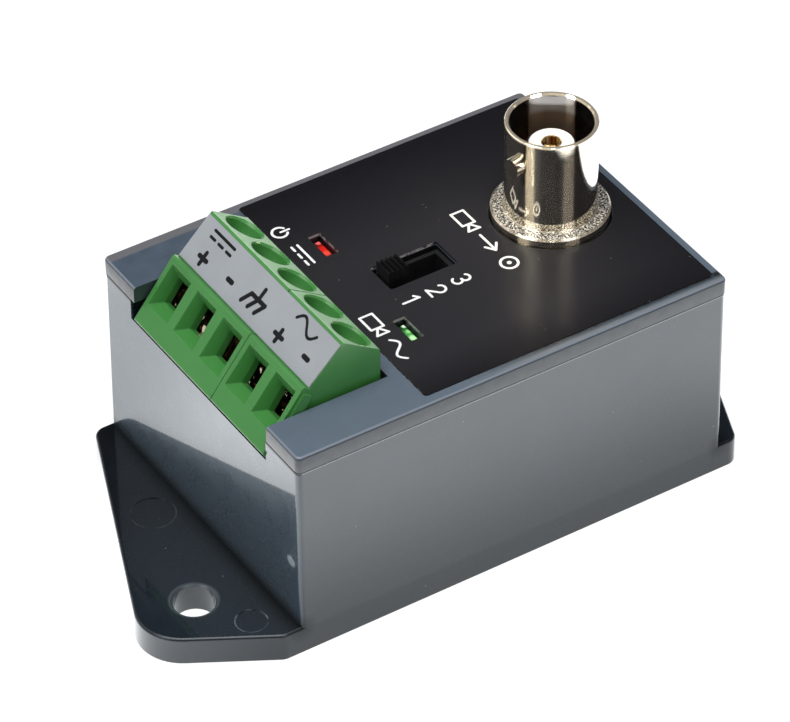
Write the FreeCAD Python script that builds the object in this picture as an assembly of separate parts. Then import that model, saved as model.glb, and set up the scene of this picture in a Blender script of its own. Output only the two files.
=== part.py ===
import FreeCAD, Part
import math
import os

# Active video balun: a screw-down plastic box with a coaxial jack, a slide switch, two lights
# and an angled five-pole screw terminal strip. Millimetres. The origin is the centre of the
# base, +X runs towards the jack, +Z points up, and the terminal strip is at the -X end.

Vector = FreeCAD.Vector
Z_AXIS = Vector(0, 0, 1)

# Box
box_length = 51.2
box_width = 37.6
box_height = 25.5
corner_radius = 0.6
lid_rim = 1.9
lid_edge_radius = 0.35
lid_overhang = 0.05
wall_draft = 0.1
wall = 2.0
floor = 2.0
rim_gap = 0.2
cavity_radius = 0.8

# Mounting lugs, one at each end, the second turned half a turn about Z
lug_thickness = 3.2
lug_tip_out = 14.48
lug_tip_in = 7.2
lug_tip_radius = 5.0
lug_short_side = 2.0
lug_long_side = 2.1
lug_corner_radius = 1.5
lug_edge_radius = 0.35
lug_hole_out = 6.85
lug_hole_in = 9.45
lug_hole_diameter = 4.4
lug_hole_chamfer = 0.22
ejector_mark_out = 3.6
ejector_mark_depth = 0.08
ejector_marks = ((3.75, 3.3), (23.05, 4.7))

# Lid details
lip_clearance = 0.15
lip_thickness = 1.2
lip_depth = 1.8
hook_x = (-8.0, 13.0)
hook_width = 6.0
hook_length = 3.2
hook_reach = 0.45
hook_height = 1.0
hook_clearance = 0.15

# Printed film in its recess
film_to_end = 1.0
film_to_side = 1.1
film_to_strip = 2.064
film_shift_y = 0.15
film_thickness = 0.3
film_clearance = 0.1
film_radius = 0.5

# Circuit board
board_depth = 7.9
board_thickness = 1.6
board_clearance = 0.4
board_radius = 1.0
board_screw_to_side = 3.6
board_screw_to_end = 3.3
board_screw_to_strip = 2.764
board_screw_hole = 2.8
board_screw_diameter = 2.2
board_screw_head = 4.4
board_screw_head_height = 1.6
board_screw_length = 8.0
driver_slot = 0.6
pilot_clearance = 0.1
pilot_spare_depth = 1.0
post_diameter = 5.6
post_rib = 1.2
ledge_places = (-9.5, 9.5)
ledge_width = 1.4
ledge_reach = 1.5
lead_length = 1.8
lead_hole_clearance = 0.2

# Terminal strip outline, from the lower edge of its wire face
pole_pitch = 5.0
three_way_count = 3
two_way_count = 2
strip_centre_y = -0.1
strip_nose = 0.25
strip_rise = 4.2
wire_face = 7.98
wire_face_angle = 52.1
face_step = 0.75
label_face = 5.67
label_face_angle = 44.6
screw_face = 5.03
screw_face_angle = -32.7
strip_edge_radius = 0.2
strip_wall_gap = 0.3
nose_drop = 0.5
nose_gap = 0.3
block_seam = 0.1
edge_match = 0.01
strip_lid_gaps = (0.38, 0.2)
strip_wall_gaps = (0.1, 1.05)
strip_back_gap = 0.6
rib_place = 1.2
rib_width = 1.3
rib_reach = 0.32
rib_low = 3.5
rib_high = 7.4
rib_clearance = 0.05
label_thickness = 0.12
label_inset = 0.12

# Clamp in each pole, in the tilted frame of its screw (u along the wire, v along the screw)
clamp_tilt = 35.0
funnel_width = 3.85
funnel_height = 5.3
funnel_depth = 1.7
funnel_centre_v = 4.8
entry_width = 2.9
entry_height = 3.0
entry_centre_v = 4.5
screw_u = 4.9
screw_diameter = 2.5
screw_head = 3.8
screw_head_height = 1.5
screw_slot = 0.7
screw_slot_depth = 0.8
screw_seat_v = 10.6
screw_fit = 0.05
screw_well_fit = 0.1
screw_well_chamfer = 0.2
cage_length = 4.5
cage_width = 3.7
cage_wall = 0.5
cage_floor = 0.8
cage_bridge = 1.35
cage_edge_radius = 0.25
cage_travel = 1.8
cage_fit = 0.1
bar_thickness = 0.8
bar_width = 2.4
bar_end_u = 8.3
bar_fit = 0.05
leg_width = 1.2
leg_thickness = 0.8

# Slide switch
switch_x = 0.1
switch_y = 0.1
switch_window = (7.95, 4.0)
switch_window_shift = 0.16
switch_window_radius = 0.25
switch_step = 2.65
switch_step_count = 2
switch_body = (13.2, 5.8, 5.2)
switch_wall = 0.9
collar_clearance = (0.12, 0.27)
collar_drop = 0.6
stem = (1.2, 2.3)
stem_end_clearance = 0.1
stem_clearance = 0.1
carriage = (4.6, 1.5)
knob_gap = 0.25
knob_rise = 1.5
knob_length = 2.45
knob_width = 2.4
knob_taper = 0.05
knob_ridge_count = 5
knob_ridge_top = 0.18
knob_groove = 0.35
switch_base_height = 1.0
switch_pin = (0.5, 0.9)
switch_contact_width = 1.2
sliding_clearance = 0.1

# Coaxial jack
jack_to_end = 8.9
jack_y = 0.1
jack_height = 11.77
jack_barrel = 9.66
jack_bore = 8.7
jack_rim_bore = 8.95
jack_rim_bevel = 0.24
jack_base = 12.46
jack_base_rise = 1.0
jack_base_edge = 0.2
jack_foot_radius = 0.12
jack_base_clearance = 0.15
jack_socket_depth = 8.3
insulator_drop = 2.8
insulator_diameter = 4.7
insulator_flange = 7.0
insulator_flange_height = 1.5
insulator_fit = 0.03
insulator_edge = 0.12
contact_diameter = 2.1
contact_bore = 1.35
contact_bore_depth = 4.5
contact_slot = 0.3
contact_slot_depth = 3.0
contact_tail = 1.0
contact_rise = 0.15
bayonet_diameter = 2.0
bayonet_reach = 0.85
bayonet_drop = 3.27
bayonet_angle = 10.0
jack_leg_diameter = 1.2
jack_leg_circle = 10.0
jack_leg_turn = 45
jack_rim_edge = 0.08

# Lights, placed from the film's edges
light_window = (1.35, 3.55)
light_to_film_end = 4.2
light_to_film_side = 9.7
light_tip_drop = 0.75
light_clearance = 0.1
light_tip_round = 0.3
light_body = (2.0, 4.6)
light_shoulder_gap = 0.3
light_lead = 0.5
light_lead_spacing = 2.54

# Electronics on the board: place from the switch, the jack or the board's long edge, and size
capacitor_to_switch = 3.8
capacitor_to_edge = 5.9
capacitor_diameter = 5.0
capacitor_height = 5.0
capacitor_base = 5.3
capacitor_base_height = 0.9
capacitor_neck = 4.6
driver_to_jack = 4.7
driver_to_edge = 4.1
driver_size = (4.9, 3.9, 1.5)
driver_leg = (0.42, 1.05, 0.25)
driver_leg_pitch = 1.27
regulator_to_jack = 4.7
regulator_to_edge = 4.1
regulator_size = (4.5, 2.5, 1.5)
regulator_tab = (1.7, 0.9, 0.4)
diode_to_switch = 1.8
diode_to_edge = 3.1
diode_size = (4.3, 3.6, 2.1)
diode_lead = (0.5, 2.0, 0.25)
choke_to_switch = 2.0
choke_to_edge = 3.4
choke_size = (5.2, 4.4, 2.8)
choke_waist = 1.0
choke_flange = 0.7
resistor_gap = 0.6
resistor_inset = 2.8
resistor_to_strip = (2.46, 4.4)
resistor_size = (1.2, 2.0, 0.55)

# Places that follow from the sizes above
lid_under = box_height - lid_rim
wall_top = lid_under - rim_gap
wall_length_top = box_length - 2 * lid_overhang
wall_width_top = box_width - 2 * lid_overhang
base_length = wall_length_top + 2 * wall_draft
base_width = wall_width_top + 2 * wall_draft
cavity_length = wall_length_top - 2 * wall
cavity_width = wall_width_top - 2 * wall
board_top = box_height - board_depth
board_under = board_top - board_thickness
lead_end = board_under - lead_length
strip_width = pole_pitch * (three_way_count + two_way_count)
strip_high_y = strip_centre_y + strip_width / 2
strip_low_y = strip_centre_y - strip_width / 2
strip_seam_y = strip_high_y - pole_pitch * three_way_count
strip_x = -box_length / 2 - strip_nose
strip_slopes = (
    (wire_face, wire_face_angle), (face_step, -clamp_tilt),
    (label_face, label_face_angle), (screw_face, screw_face_angle))
strip_back = strip_x + sum(run * math.cos(math.radians(angle)) for run, angle in strip_slopes)
film_low_x = strip_back + film_to_strip
film_high_x = box_length / 2 - film_to_end
film_length = film_high_x - film_low_x
film_width = box_width - 2 * film_to_side
film_x = (film_low_x + film_high_x) / 2
light_x = film_low_x + light_to_film_end
light_reach = film_width / 2 - light_to_film_side
light_places = {
    "power_led": (light_x, film_shift_y + light_reach),
    "video_led": (light_x, film_shift_y - light_reach)}
board_length = cavity_length - 2 * board_clearance
board_width = cavity_width - 2 * board_clearance
board_edge = board_width / 2
board_screw_x = (strip_back + board_screw_to_strip, cavity_length / 2 - board_screw_to_end)
board_screw_y = cavity_width / 2 - board_screw_to_side
board_screw_places = [(x, side * board_screw_y) for x in board_screw_x for side in (-1, 1)]
jack_x = box_length / 2 - jack_to_end
strip_z = board_top + strip_rise
nose_under = strip_z - nose_drop
bar_low_v = entry_centre_v + entry_height / 2
bar_high_v = bar_low_v + bar_thickness
cage_open_v = entry_centre_v - entry_height / 2 - cage_floor
cage_window_top = bar_high_v + cage_fit
cage_top_v = cage_window_top + cage_bridge
jack_top = box_height + jack_height
collar_top = box_height - collar_drop
stem_slot_length = switch_step * switch_step_count + stem[0] + 2 * stem_end_clearance
stem_slot_width = stem[1] + 2 * stem_clearance
switch_rest_x = switch_x - switch_step * switch_step_count / 2


def box(x_range, y_range, z_range):
    corner = Vector(x_range[0], y_range[0], z_range[0])
    size = [high - low for low, high in (x_range, y_range, z_range)]
    return Part.makeBox(size[0], size[1], size[2], corner)


def centred_box(x, y, size, z_low):
    return box((x - size[0] / 2, x + size[0] / 2), (y - size[1] / 2, y + size[1] / 2), (z_low, z_low + size[2]))


def rod(x, y, z_low, z_high, diameter):
    return Part.makeCylinder(diameter / 2, z_high - z_low, Vector(x, y, z_low), Z_AXIS)


def rounded_outline(corners, z):
    """Closed wire through (x, y, radius) corners, each rounded by its own radius."""
    points = [Vector(x, y, z) for x, y, radius in corners]
    starts, ends, middles = [], [], []
    for index, (x, y, radius) in enumerate(corners):
        here = points[index]
        back = (points[index - 1] - here).normalize()
        ahead = (points[(index + 1) % len(points)] - here).normalize()
        half_angle = back.getAngle(ahead) / 2
        run = radius / math.tan(half_angle)
        starts.append(here + back * run)
        ends.append(here + ahead * run)
        bisector = (back + ahead).normalize()
        middles.append(here + bisector * (radius / math.sin(half_angle) - radius))
    edges = []
    for index in range(len(corners)):
        if corners[index][2] > 0:
            edges.append(Part.Arc(starts[index], middles[index], ends[index]).toShape())
        following = (index + 1) % len(corners)
        edges.append(Part.LineSegment(ends[index], starts[following]).toShape())
    return Part.Wire(edges)


def rounded_rectangle(x, y, length, width, radius, z):
    half_x = length / 2
    half_y = width / 2
    signs = ((-1, -1), (1, -1), (1, 1), (-1, 1))
    return rounded_outline([(x + sx * half_x, y + sy * half_y, radius) for sx, sy in signs], z)


def plate(wire, thickness):
    return Part.Face(wire).extrude(Vector(0, 0, thickness))


def rounded_block(x, y, length, width, radius, z_low, z_high):
    return plate(rounded_rectangle(x, y, length, width, radius, z_low), z_high - z_low)


def side_profile(points, y_low, y_high):
    """Solid with an outline of (x, z) points, drawn from y_low to y_high."""
    corners = [Vector(x, y_low, z) for x, z in points]
    face = Part.Face(Part.makePolygon(corners + corners[:1]))
    return face.extrude(Vector(0, y_high - y_low, 0))


def turned(points, x, y):
    """Solid turned about a vertical axis from a closed outline of (radius, z) points."""
    corners = [Vector(radius, 0, z) for radius, z in points]
    solid = Part.Face(Part.makePolygon(corners + corners[:1])).revolve(Vector(0, 0, 0), Z_AXIS, 360)
    solid.translate(Vector(x, y, 0))
    return solid


def half_turn(shape):
    copy = shape.copy()
    copy.rotate(Vector(0, 0, 0), Z_AXIS, 180)
    return copy


def joined(shapes):
    return shapes[0].multiFuse(shapes[1:]).removeSplitter()


def step_from(point, length, degrees):
    angle = math.radians(degrees)
    return (point[0] + length * math.cos(angle), point[1] + length * math.sin(angle))


# Housing
def lug():
    wall_x = -box_length / 2
    edge_y = base_width / 2
    corners = [
        (wall_x + wall / 2, -edge_y, 0),
        (wall_x - lug_short_side, -edge_y, lug_corner_radius),
        (wall_x - lug_tip_out, lug_tip_in - edge_y, lug_tip_radius),
        (wall_x - lug_long_side, edge_y, lug_corner_radius),
        (wall_x + wall / 2, edge_y, 0),
    ]
    body = plate(rounded_outline(corners, 0), lug_thickness)
    top_edges = [edge for edge in body.Edges if edge.BoundBox.ZMin > lug_thickness / 2]
    body = body.makeFillet(lug_edge_radius, top_edges)
    hole_x = wall_x - lug_hole_out
    hole_y = lug_hole_in - edge_y
    hole = rod(hole_x, hole_y, 0, lug_thickness, lug_hole_diameter)
    rim_radius = lug_hole_diameter / 2 + lug_hole_chamfer
    countersink = Part.makeCone(
        lug_hole_diameter / 2, rim_radius, lug_hole_chamfer,
        Vector(hole_x, hole_y, lug_thickness - lug_hole_chamfer), Z_AXIS)
    body = body.cut([hole, countersink])
    mark_x = wall_x - ejector_mark_out
    mark_low = lug_thickness - ejector_mark_depth
    marks = [rod(mark_x, inward - edge_y, mark_low, lug_thickness, diameter)
             for inward, diameter in ejector_marks]
    return body.cut(marks)


def board_post(x, y):
    side = 1 if y > 0 else -1
    post = rod(x, y, floor / 2, board_under, post_diameter)
    rib_far = side * (cavity_width / 2 + wall / 2)
    rib_range = tuple(sorted((y, rib_far)))
    rib_top = board_under - board_thickness
    rib = box((x - post_rib / 2, x + post_rib / 2), rib_range, (floor / 2, rib_top))
    return post.fuse(rib)


def hook_pocket(x, side):
    inner = cavity_width / 2
    low = lid_under - lip_depth - hook_length - hook_clearance
    y_range = tuple(sorted((side * (inner - wall / 2), side * (inner + hook_reach))))
    half = hook_width / 2 + hook_clearance
    catch_top = low + hook_height / 2 + hook_height
    return box((x - half, x + half), y_range, (low, catch_top + 2 * hook_clearance))


def strip_notch(gaps, z_low, z_high, back_x):
    """Cut-out for the terminal strip, with gaps at its low and high ends."""
    y_range = (strip_low_y - gaps[0], strip_high_y + gaps[1])
    return box((-box_length, back_x), y_range, (z_low, z_high))


def make_housing():
    foot = rounded_rectangle(0, 0, base_length, base_width, corner_radius, 0)
    brim = rounded_rectangle(0, 0, wall_length_top, wall_width_top, corner_radius, wall_top)
    shell = Part.makeLoft([foot, brim], True, True)
    shell = joined([shell, lug(), half_turn(lug())])
    cavity = rounded_block(0, 0, cavity_length, cavity_width, cavity_radius, floor, box_height)
    shell = shell.cut(cavity)
    posts = [board_post(x, y) for x, y in board_screw_places]
    ledge_x = -cavity_length / 2
    for y in ledge_places:
        y_range = (y - ledge_width / 2, y + ledge_width / 2)
        posts.append(box((ledge_x - wall / 2, ledge_x + ledge_reach), y_range, (floor / 2, board_under)))
    shell = joined([shell] + posts)
    pilot = board_screw_diameter + pilot_clearance
    inside = -cavity_length / 2 + wall / 2
    tools = [strip_notch(strip_wall_gaps, nose_under - nose_gap, box_height, inside)]
    for x, y in board_screw_places:
        tools.append(rod(x, y, board_top - board_screw_length - pilot_spare_depth, board_under, pilot))
    tools += [hook_pocket(x, side) for x in hook_x for side in (-1, 1)]
    return shell.cut(tools)


# Lid and film
def lid_cutouts(z_low, z_high, spread):
    """Openings shared by the lid and the film; spread widens them for the upper layer."""
    window = rounded_block(
        switch_x, switch_y + switch_window_shift, switch_window[0] + spread, switch_window[1] + spread,
        switch_window_radius, z_low, z_high)
    jack_hole = rod(jack_x, jack_y, z_low, z_high, jack_base + 2 * jack_base_clearance + spread)
    lights = [
        centred_box(x, y, (light_window[0] + spread, light_window[1] + spread, z_high - z_low), z_low)
        for x, y in light_places.values()]
    return [window, jack_hole] + lights


def snap_hook(x, side):
    outer = cavity_width / 2 - lip_clearance
    top = lid_under - lip_depth
    low = top - hook_length
    x_range = (x - hook_width / 2, x + hook_width / 2)
    arm = box(x_range, tuple(sorted((side * (outer - lip_thickness), side * outer))), (low, lid_under))
    catch_low = low + hook_height / 2
    tip = [
        Vector(x_range[0], side * outer, catch_low - hook_height / 2),
        Vector(x_range[0], side * (outer + hook_reach), catch_low + hook_height / 2),
        Vector(x_range[0], side * (outer + hook_reach), catch_low + hook_height),
        Vector(x_range[0], side * outer, catch_low + hook_height),
    ]
    catch = Part.Face(Part.makePolygon(tip + tip[:1])).extrude(Vector(hook_width, 0, 0))
    return [arm, catch]


def make_lid():
    slab = rounded_block(0, 0, box_length, box_width, corner_radius, lid_under, box_height)
    rim_edges = [edge for edge in slab.Edges if edge.BoundBox.ZMin > lid_under + lid_rim / 2]
    slab = slab.makeFillet(lid_edge_radius, rim_edges)
    lip_length = cavity_length - 2 * lip_clearance
    lip_width = cavity_width - 2 * lip_clearance
    lip_low = lid_under - lip_depth
    lip = rounded_block(0, 0, lip_length, lip_width, cavity_radius, lip_low, lid_under)
    lip_core = rounded_block(
        0, 0, lip_length - 2 * lip_thickness, lip_width - 2 * lip_thickness,
        cavity_radius / 2, lip_low, lid_under)
    hooks = [piece for x in hook_x for side in (-1, 1) for piece in snap_hook(x, side)]
    body = joined([slab, lip.cut(lip_core)] + hooks)
    recess = rounded_block(
        film_x, film_shift_y, film_length + 2 * film_clearance,
        film_width + 2 * film_clearance, film_radius, box_height - film_thickness, box_height)
    notch = strip_notch(strip_lid_gaps, lip_low - hook_length, box_height, strip_back + strip_back_gap)
    return body.cut([recess, notch] + lid_cutouts(lip_low, box_height, 0))


def make_film():
    z_low = box_height - film_thickness
    sheet = rounded_block(
        film_x, film_shift_y, film_length, film_width, film_radius, z_low, box_height)
    return sheet.cut(lid_cutouts(z_low, box_height, film_clearance))


# Circuit board and its screws
def make_board():
    body = rounded_block(0, 0, board_length, board_width, board_radius, board_under, board_top)
    holes = [(x, y, board_screw_hole) for x, y in board_screw_places]
    leg_hole = math.hypot(leg_width, leg_thickness) + lead_hole_clearance
    holes += [(leg_x(), y, leg_hole) for y in pole_places()]
    holes += [(x, y, jack_leg_diameter + lead_hole_clearance) for x, y in jack_leg_places()]
    holes.append((jack_x, jack_y, contact_tail + lead_hole_clearance))
    pin_hole = math.hypot(*switch_pin) + lead_hole_clearance
    holes += [(x, switch_y, pin_hole) for x in switch_pin_places()]
    for x, y in light_places.values():
        half = light_lead_spacing / 2
        lead_hole = light_lead * math.sqrt(2) + lead_hole_clearance
        holes += [(x, y - half, lead_hole), (x, y + half, lead_hole)]
    return body.cut([rod(x, y, board_under, board_top, diameter) for x, y, diameter in holes])


def board_screw(x, y):
    head_top = board_top + board_screw_head_height
    outline = [
        (0, head_top),
        (board_screw_head / 4, head_top),
        (board_screw_head / 2, board_top + board_screw_head_height / 2),
        (board_screw_head / 2, board_top),
        (board_screw_diameter / 2, board_top),
        (board_screw_diameter / 2, board_top - board_screw_length + board_screw_diameter / 2),
        (0, board_top - board_screw_length),
    ]
    slot = centred_box(x, y, (board_screw_head, driver_slot, driver_slot), head_top - driver_slot)
    return turned(outline, x, y).cut(slot)


def make_board_screws():
    return Part.makeCompound([board_screw(x, y) for x, y in board_screw_places])


# Terminal strip
def pole_places():
    count = three_way_count + two_way_count
    return [strip_high_y - pole_pitch * (index + 0.5) for index in range(count)]


def tilted(shape, pole_y):
    """Moves a shape from the clamp frame (u, y, v) to its pole."""
    turn = FreeCAD.Rotation(Vector(0, 1, 0), clamp_tilt)
    copy = shape.copy()
    copy.Placement = FreeCAD.Placement(Vector(strip_x, pole_y, strip_z), turn).multiply(copy.Placement)
    return copy


def leg_x():
    angle = math.radians(clamp_tilt)
    middle_v = (bar_low_v + bar_high_v) / 2
    return strip_x + bar_end_u * math.cos(angle) + middle_v * math.sin(angle)


def leg_top():
    angle = math.radians(clamp_tilt)
    return strip_z - bar_end_u * math.sin(angle) + bar_high_v * math.cos(angle)


def strip_outline():
    """Corners of the strip's sloping faces, from the low edge of the wire face to the back edge."""
    points = [(strip_x, strip_z)]
    for run, angle in strip_slopes:
        points.append(step_from(points[-1], run, angle))
    return points


def strip_body(y_low, y_high):
    """Solid of the strip's outline, with its long edges rounded."""
    low, brow, step, ridge, back = strip_outline()
    inside_wall = -cavity_length / 2 + strip_wall_gap
    outline = [
        low, brow, step, ridge, back,
        (back[0], board_top),
        (inside_wall, board_top),
        (inside_wall, nose_under),
        (low[0] + nose_drop / 2, nose_under),
    ]
    body = side_profile(outline, y_low, y_high)
    rounded = []
    for edge in body.Edges:
        middle = edge.BoundBox.Center
        along_y = edge.BoundBox.YLength > pole_pitch
        if along_y and min(math.dist((middle.x, middle.z), point) for point in (low, brow, ridge, back)) < edge_match:
            rounded.append(edge)
    return body.makeFillet(strip_edge_radius, rounded)


def pole_hollow():
    """Everything cut from one pole: wire funnel, clamp chamber, screw well and contact slot."""
    slope_wide = (funnel_width - entry_width) / funnel_depth
    slope_high = (funnel_height - entry_height) / funnel_depth
    slope_centre = (funnel_centre_v - entry_centre_v) / funnel_depth
    mouths = []
    for u in (-funnel_depth / 4, funnel_depth):
        back = funnel_depth - u
        half_y = (entry_width + slope_wide * back) / 2
        half_v = (entry_height + slope_high * back) / 2
        centre_v = entry_centre_v + slope_centre * back
        signs = ((-1, -1), (1, -1), (1, 1), (-1, 1))
        mouths.append(Part.makePolygon(
            [Vector(u, sy * half_y, centre_v + sv * half_v) for sy, sv in signs + signs[:1]]))
    funnel = Part.makeLoft(mouths, True, True)
    chamber_half = cage_length / 2 + cage_fit
    chamber_y = cage_width / 2 + cage_fit
    entry_v = (entry_centre_v - entry_height / 2, entry_centre_v + entry_height / 2)
    entry = box((funnel_depth / 2, screw_u), (-entry_width / 2, entry_width / 2), entry_v)
    chamber_top = cage_top_v + cage_travel + cage_fit
    chamber = box(
        (screw_u - chamber_half, screw_u + chamber_half), (-chamber_y, chamber_y),
        (cage_open_v - cage_fit, chamber_top))
    well_diameter = screw_head + 2 * screw_well_fit
    mouth_v = screw_mouth_v()
    well = rod(screw_u, 0, screw_seat_v, mouth_v + screw_head, well_diameter)
    countersink = Part.makeCone(
        well_diameter / 2, well_diameter / 2 + 2 * screw_well_chamfer, 2 * screw_well_chamfer,
        Vector(screw_u, 0, mouth_v - screw_well_chamfer), Z_AXIS)
    passage = rod(screw_u, 0, chamber_top - cage_fit, screw_seat_v + cage_fit, screw_diameter + 2 * screw_well_fit)
    bar_y = bar_width / 2 + bar_fit
    bar_slot = box((screw_u, bar_end_u + bar_thickness), (-bar_y, bar_y), (bar_low_v - bar_fit, bar_high_v + bar_fit))
    return joined([funnel, entry, chamber, well, passage, bar_slot, countersink])


def screw_mouth_v():
    """Height of the sloped screw face above the clamp frame's origin, at the screw axis."""
    ridge = strip_outline()[3]
    angle = math.radians(clamp_tilt)
    ridge_u = (ridge[0] - strip_x) * math.cos(angle) - (ridge[1] - strip_z) * math.sin(angle)
    ridge_v = (ridge[0] - strip_x) * math.sin(angle) + (ridge[1] - strip_z) * math.cos(angle)
    return ridge_v + (screw_u - ridge_u) * math.tan(math.radians(screw_face_angle + clamp_tilt))


def leg_slot(pole_y):
    half_x = leg_thickness / 2 + bar_fit
    half_y = leg_width / 2 + bar_fit
    return box(
        (leg_x() - half_x, leg_x() + half_x), (pole_y - half_y, pole_y + half_y),
        (board_top, leg_top() + bar_fit))


def side_rib(face_y, clearance):
    """Dovetail on the -Y face of a block; with a clearance it is the groove that takes it."""
    narrow = rib_width / 2 - rib_reach / 2 + clearance
    wide = rib_width / 2 + clearance
    reach = rib_reach + clearance
    corners = [
        Vector(rib_place - narrow, 0, rib_low - clearance),
        Vector(rib_place - wide, -reach, rib_low - clearance),
        Vector(rib_place + wide, -reach, rib_low - clearance),
        Vector(rib_place + narrow, 0, rib_low - clearance),
    ]
    face = Part.Face(Part.makePolygon(corners + corners[:1]))
    return tilted(face.extrude(Vector(0, 0, rib_high - rib_low + 2 * clearance)), face_y)


def make_block(poles, y_high):
    """Moulded block for a run of poles, with a rib on its -Y side and a groove on its +Y side."""
    y_low = y_high - pole_pitch * len(poles)
    y_low += block_seam / 2
    y_high -= block_seam / 2
    body = strip_body(y_low, y_high)
    hollow = pole_hollow()
    tools = [side_rib(y_high + block_seam, rib_clearance)]
    for pole_y in poles:
        tools += [tilted(hollow, pole_y), leg_slot(pole_y)]
    return body.cut(tools).fuse(side_rib(y_low, 0)).removeSplitter()


def make_label():
    step, ridge = strip_outline()[2:4]
    start = step_from(step, label_inset, label_face_angle)
    end = step_from(ridge, -label_inset - strip_edge_radius, label_face_angle)
    lift = label_face_angle + 90
    outline = [start, end, step_from(end, label_thickness, lift), step_from(start, label_thickness, lift)]
    return side_profile(outline, strip_low_y + label_inset, strip_high_y - label_inset)


def make_clamp_screw(pole_y):
    shank_low = bar_high_v + bar_fit
    head = rod(screw_u, 0, screw_seat_v, screw_seat_v + screw_head_height, screw_head)
    shank = rod(screw_u, 0, shank_low, screw_seat_v, screw_diameter)
    slot_low = screw_seat_v + screw_head_height - screw_slot_depth
    slot = centred_box(screw_u, 0, (screw_head, screw_slot, screw_slot_depth), slot_low)
    return tilted(joined([head, shank]).cut(slot), pole_y)


def make_wire_clamp(pole_y):
    u_range = (screw_u - cage_length / 2, screw_u + cage_length / 2)
    body = box(u_range, (-cage_width / 2, cage_width / 2), (cage_open_v, cage_top_v))
    long_edges = [edge for edge in body.Edges if edge.BoundBox.XLength > cage_length / 2]
    body = body.makeFillet(cage_edge_radius, long_edges)
    inner_y = cage_width / 2 - cage_wall
    window = box(u_range, (-inner_y, inner_y), (cage_open_v + cage_floor, cage_window_top))
    thread = rod(screw_u, 0, cage_window_top, cage_top_v, screw_diameter + 2 * screw_fit)
    return tilted(body.cut([window, thread]), pole_y)


def make_terminal_pin(pole_y):
    u_low = screw_u - cage_length / 2
    bar = box((u_low, bar_end_u), (-bar_width / 2, bar_width / 2), (bar_low_v, bar_high_v))
    x_range = (leg_x() - leg_thickness / 2, leg_x() + leg_thickness / 2)
    leg = box(x_range, (pole_y - leg_width / 2, pole_y + leg_width / 2), (lead_end, leg_top()))
    return joined([tilted(bar, pole_y), leg])


# Slide switch
def switch_pin_places():
    return [switch_x + switch_step * (index - 1.5) for index in range(4)]


def switch_cavity():
    """Length and width of the hollow that the carriage slides in."""
    length = carriage[0] + switch_step * switch_step_count + 2 * stem_end_clearance
    width = switch_body[1] - 2 * switch_wall
    return length, width


def make_switch_body():
    body = centred_box(switch_x, switch_y, switch_body, board_top)
    collar = rounded_block(
        switch_x, switch_y, switch_window[0] - 2 * collar_clearance[0],
        switch_window[1] - 2 * collar_clearance[1], switch_window_radius, board_top, collar_top)
    length, width = switch_cavity()
    roof = board_top + switch_body[2] - switch_wall
    hollow = centred_box(switch_x, switch_y, (length, width, roof - board_top), board_top)
    slot = centred_box(switch_x, switch_y, (stem_slot_length, stem_slot_width, switch_body[2]), roof)
    return joined([body, collar]).cut([hollow, slot])


def make_switch_base():
    length, width = switch_cavity()
    size = (length - sliding_clearance, width - sliding_clearance, switch_base_height)
    body = centred_box(switch_x, switch_y, size, board_top)
    pins = [centred_box(x, switch_y, (switch_pin[0], switch_pin[1], switch_base_height), board_top)
            for x in switch_pin_places()]
    return body.cut(pins)


def make_switch_pin(x):
    top = board_top + switch_base_height
    return centred_box(x, switch_y, (switch_pin[0], switch_pin[1], top - lead_end), lead_end)


def make_switch_knob():
    foot = collar_top + knob_gap
    top = box_height + knob_rise
    half_foot = knob_length / 2
    half_top = half_foot - knob_taper
    outline = [(-half_foot, foot)]
    ridge_pitch = (2 * half_top - knob_ridge_top) / (knob_ridge_count - 1)
    for index in range(knob_ridge_count):
        x = -half_top + ridge_pitch * index
        if index > 0:
            outline.append((x - (ridge_pitch - knob_ridge_top) / 2, top - knob_groove))
        outline += [(x, top), (x + knob_ridge_top, top)]
    outline.append((half_foot, foot))
    outline = [(switch_rest_x + x, z) for x, z in outline]
    cap = side_profile(outline, switch_y - knob_width / 2, switch_y + knob_width / 2)
    roof = board_top + switch_body[2] - switch_wall
    plate_top = roof - sliding_clearance
    stem_body = centred_box(switch_rest_x, switch_y, (stem[0], stem[1], foot - plate_top), plate_top)
    width = switch_cavity()[1] - 2 * sliding_clearance
    slider = centred_box(switch_rest_x, switch_y, (carriage[0], width, carriage[1]), plate_top - carriage[1])
    return joined([cap, stem_body, slider])


def make_switch_contact():
    low = board_top + switch_base_height + sliding_clearance / 2
    roof = board_top + switch_body[2] - switch_wall
    carriage_under = roof - sliding_clearance - carriage[1]
    length = switch_step + switch_pin[0]
    half = length / 2
    thickness = switch_pin[0] / 2
    outline = [
        (-half, low),
        (-half + 2 * thickness, low),
        (-thickness, carriage_under - thickness),
        (thickness, carriage_under - thickness),
        (half - 2 * thickness, low),
        (half, low),
        (2 * thickness, carriage_under),
        (-2 * thickness, carriage_under),
    ]
    outline = [(switch_rest_x + x, z) for x, z in outline]
    half_width = switch_contact_width / 2
    return side_profile(outline, switch_y - half_width, switch_y + half_width)


# Coaxial jack
def jack_leg_places():
    radius = jack_leg_circle / 2
    angles = [math.radians(jack_leg_turn + 90 * index) for index in range(4)]
    return [(jack_x + radius * math.cos(angle), jack_y + radius * math.sin(angle)) for angle in angles]


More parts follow.
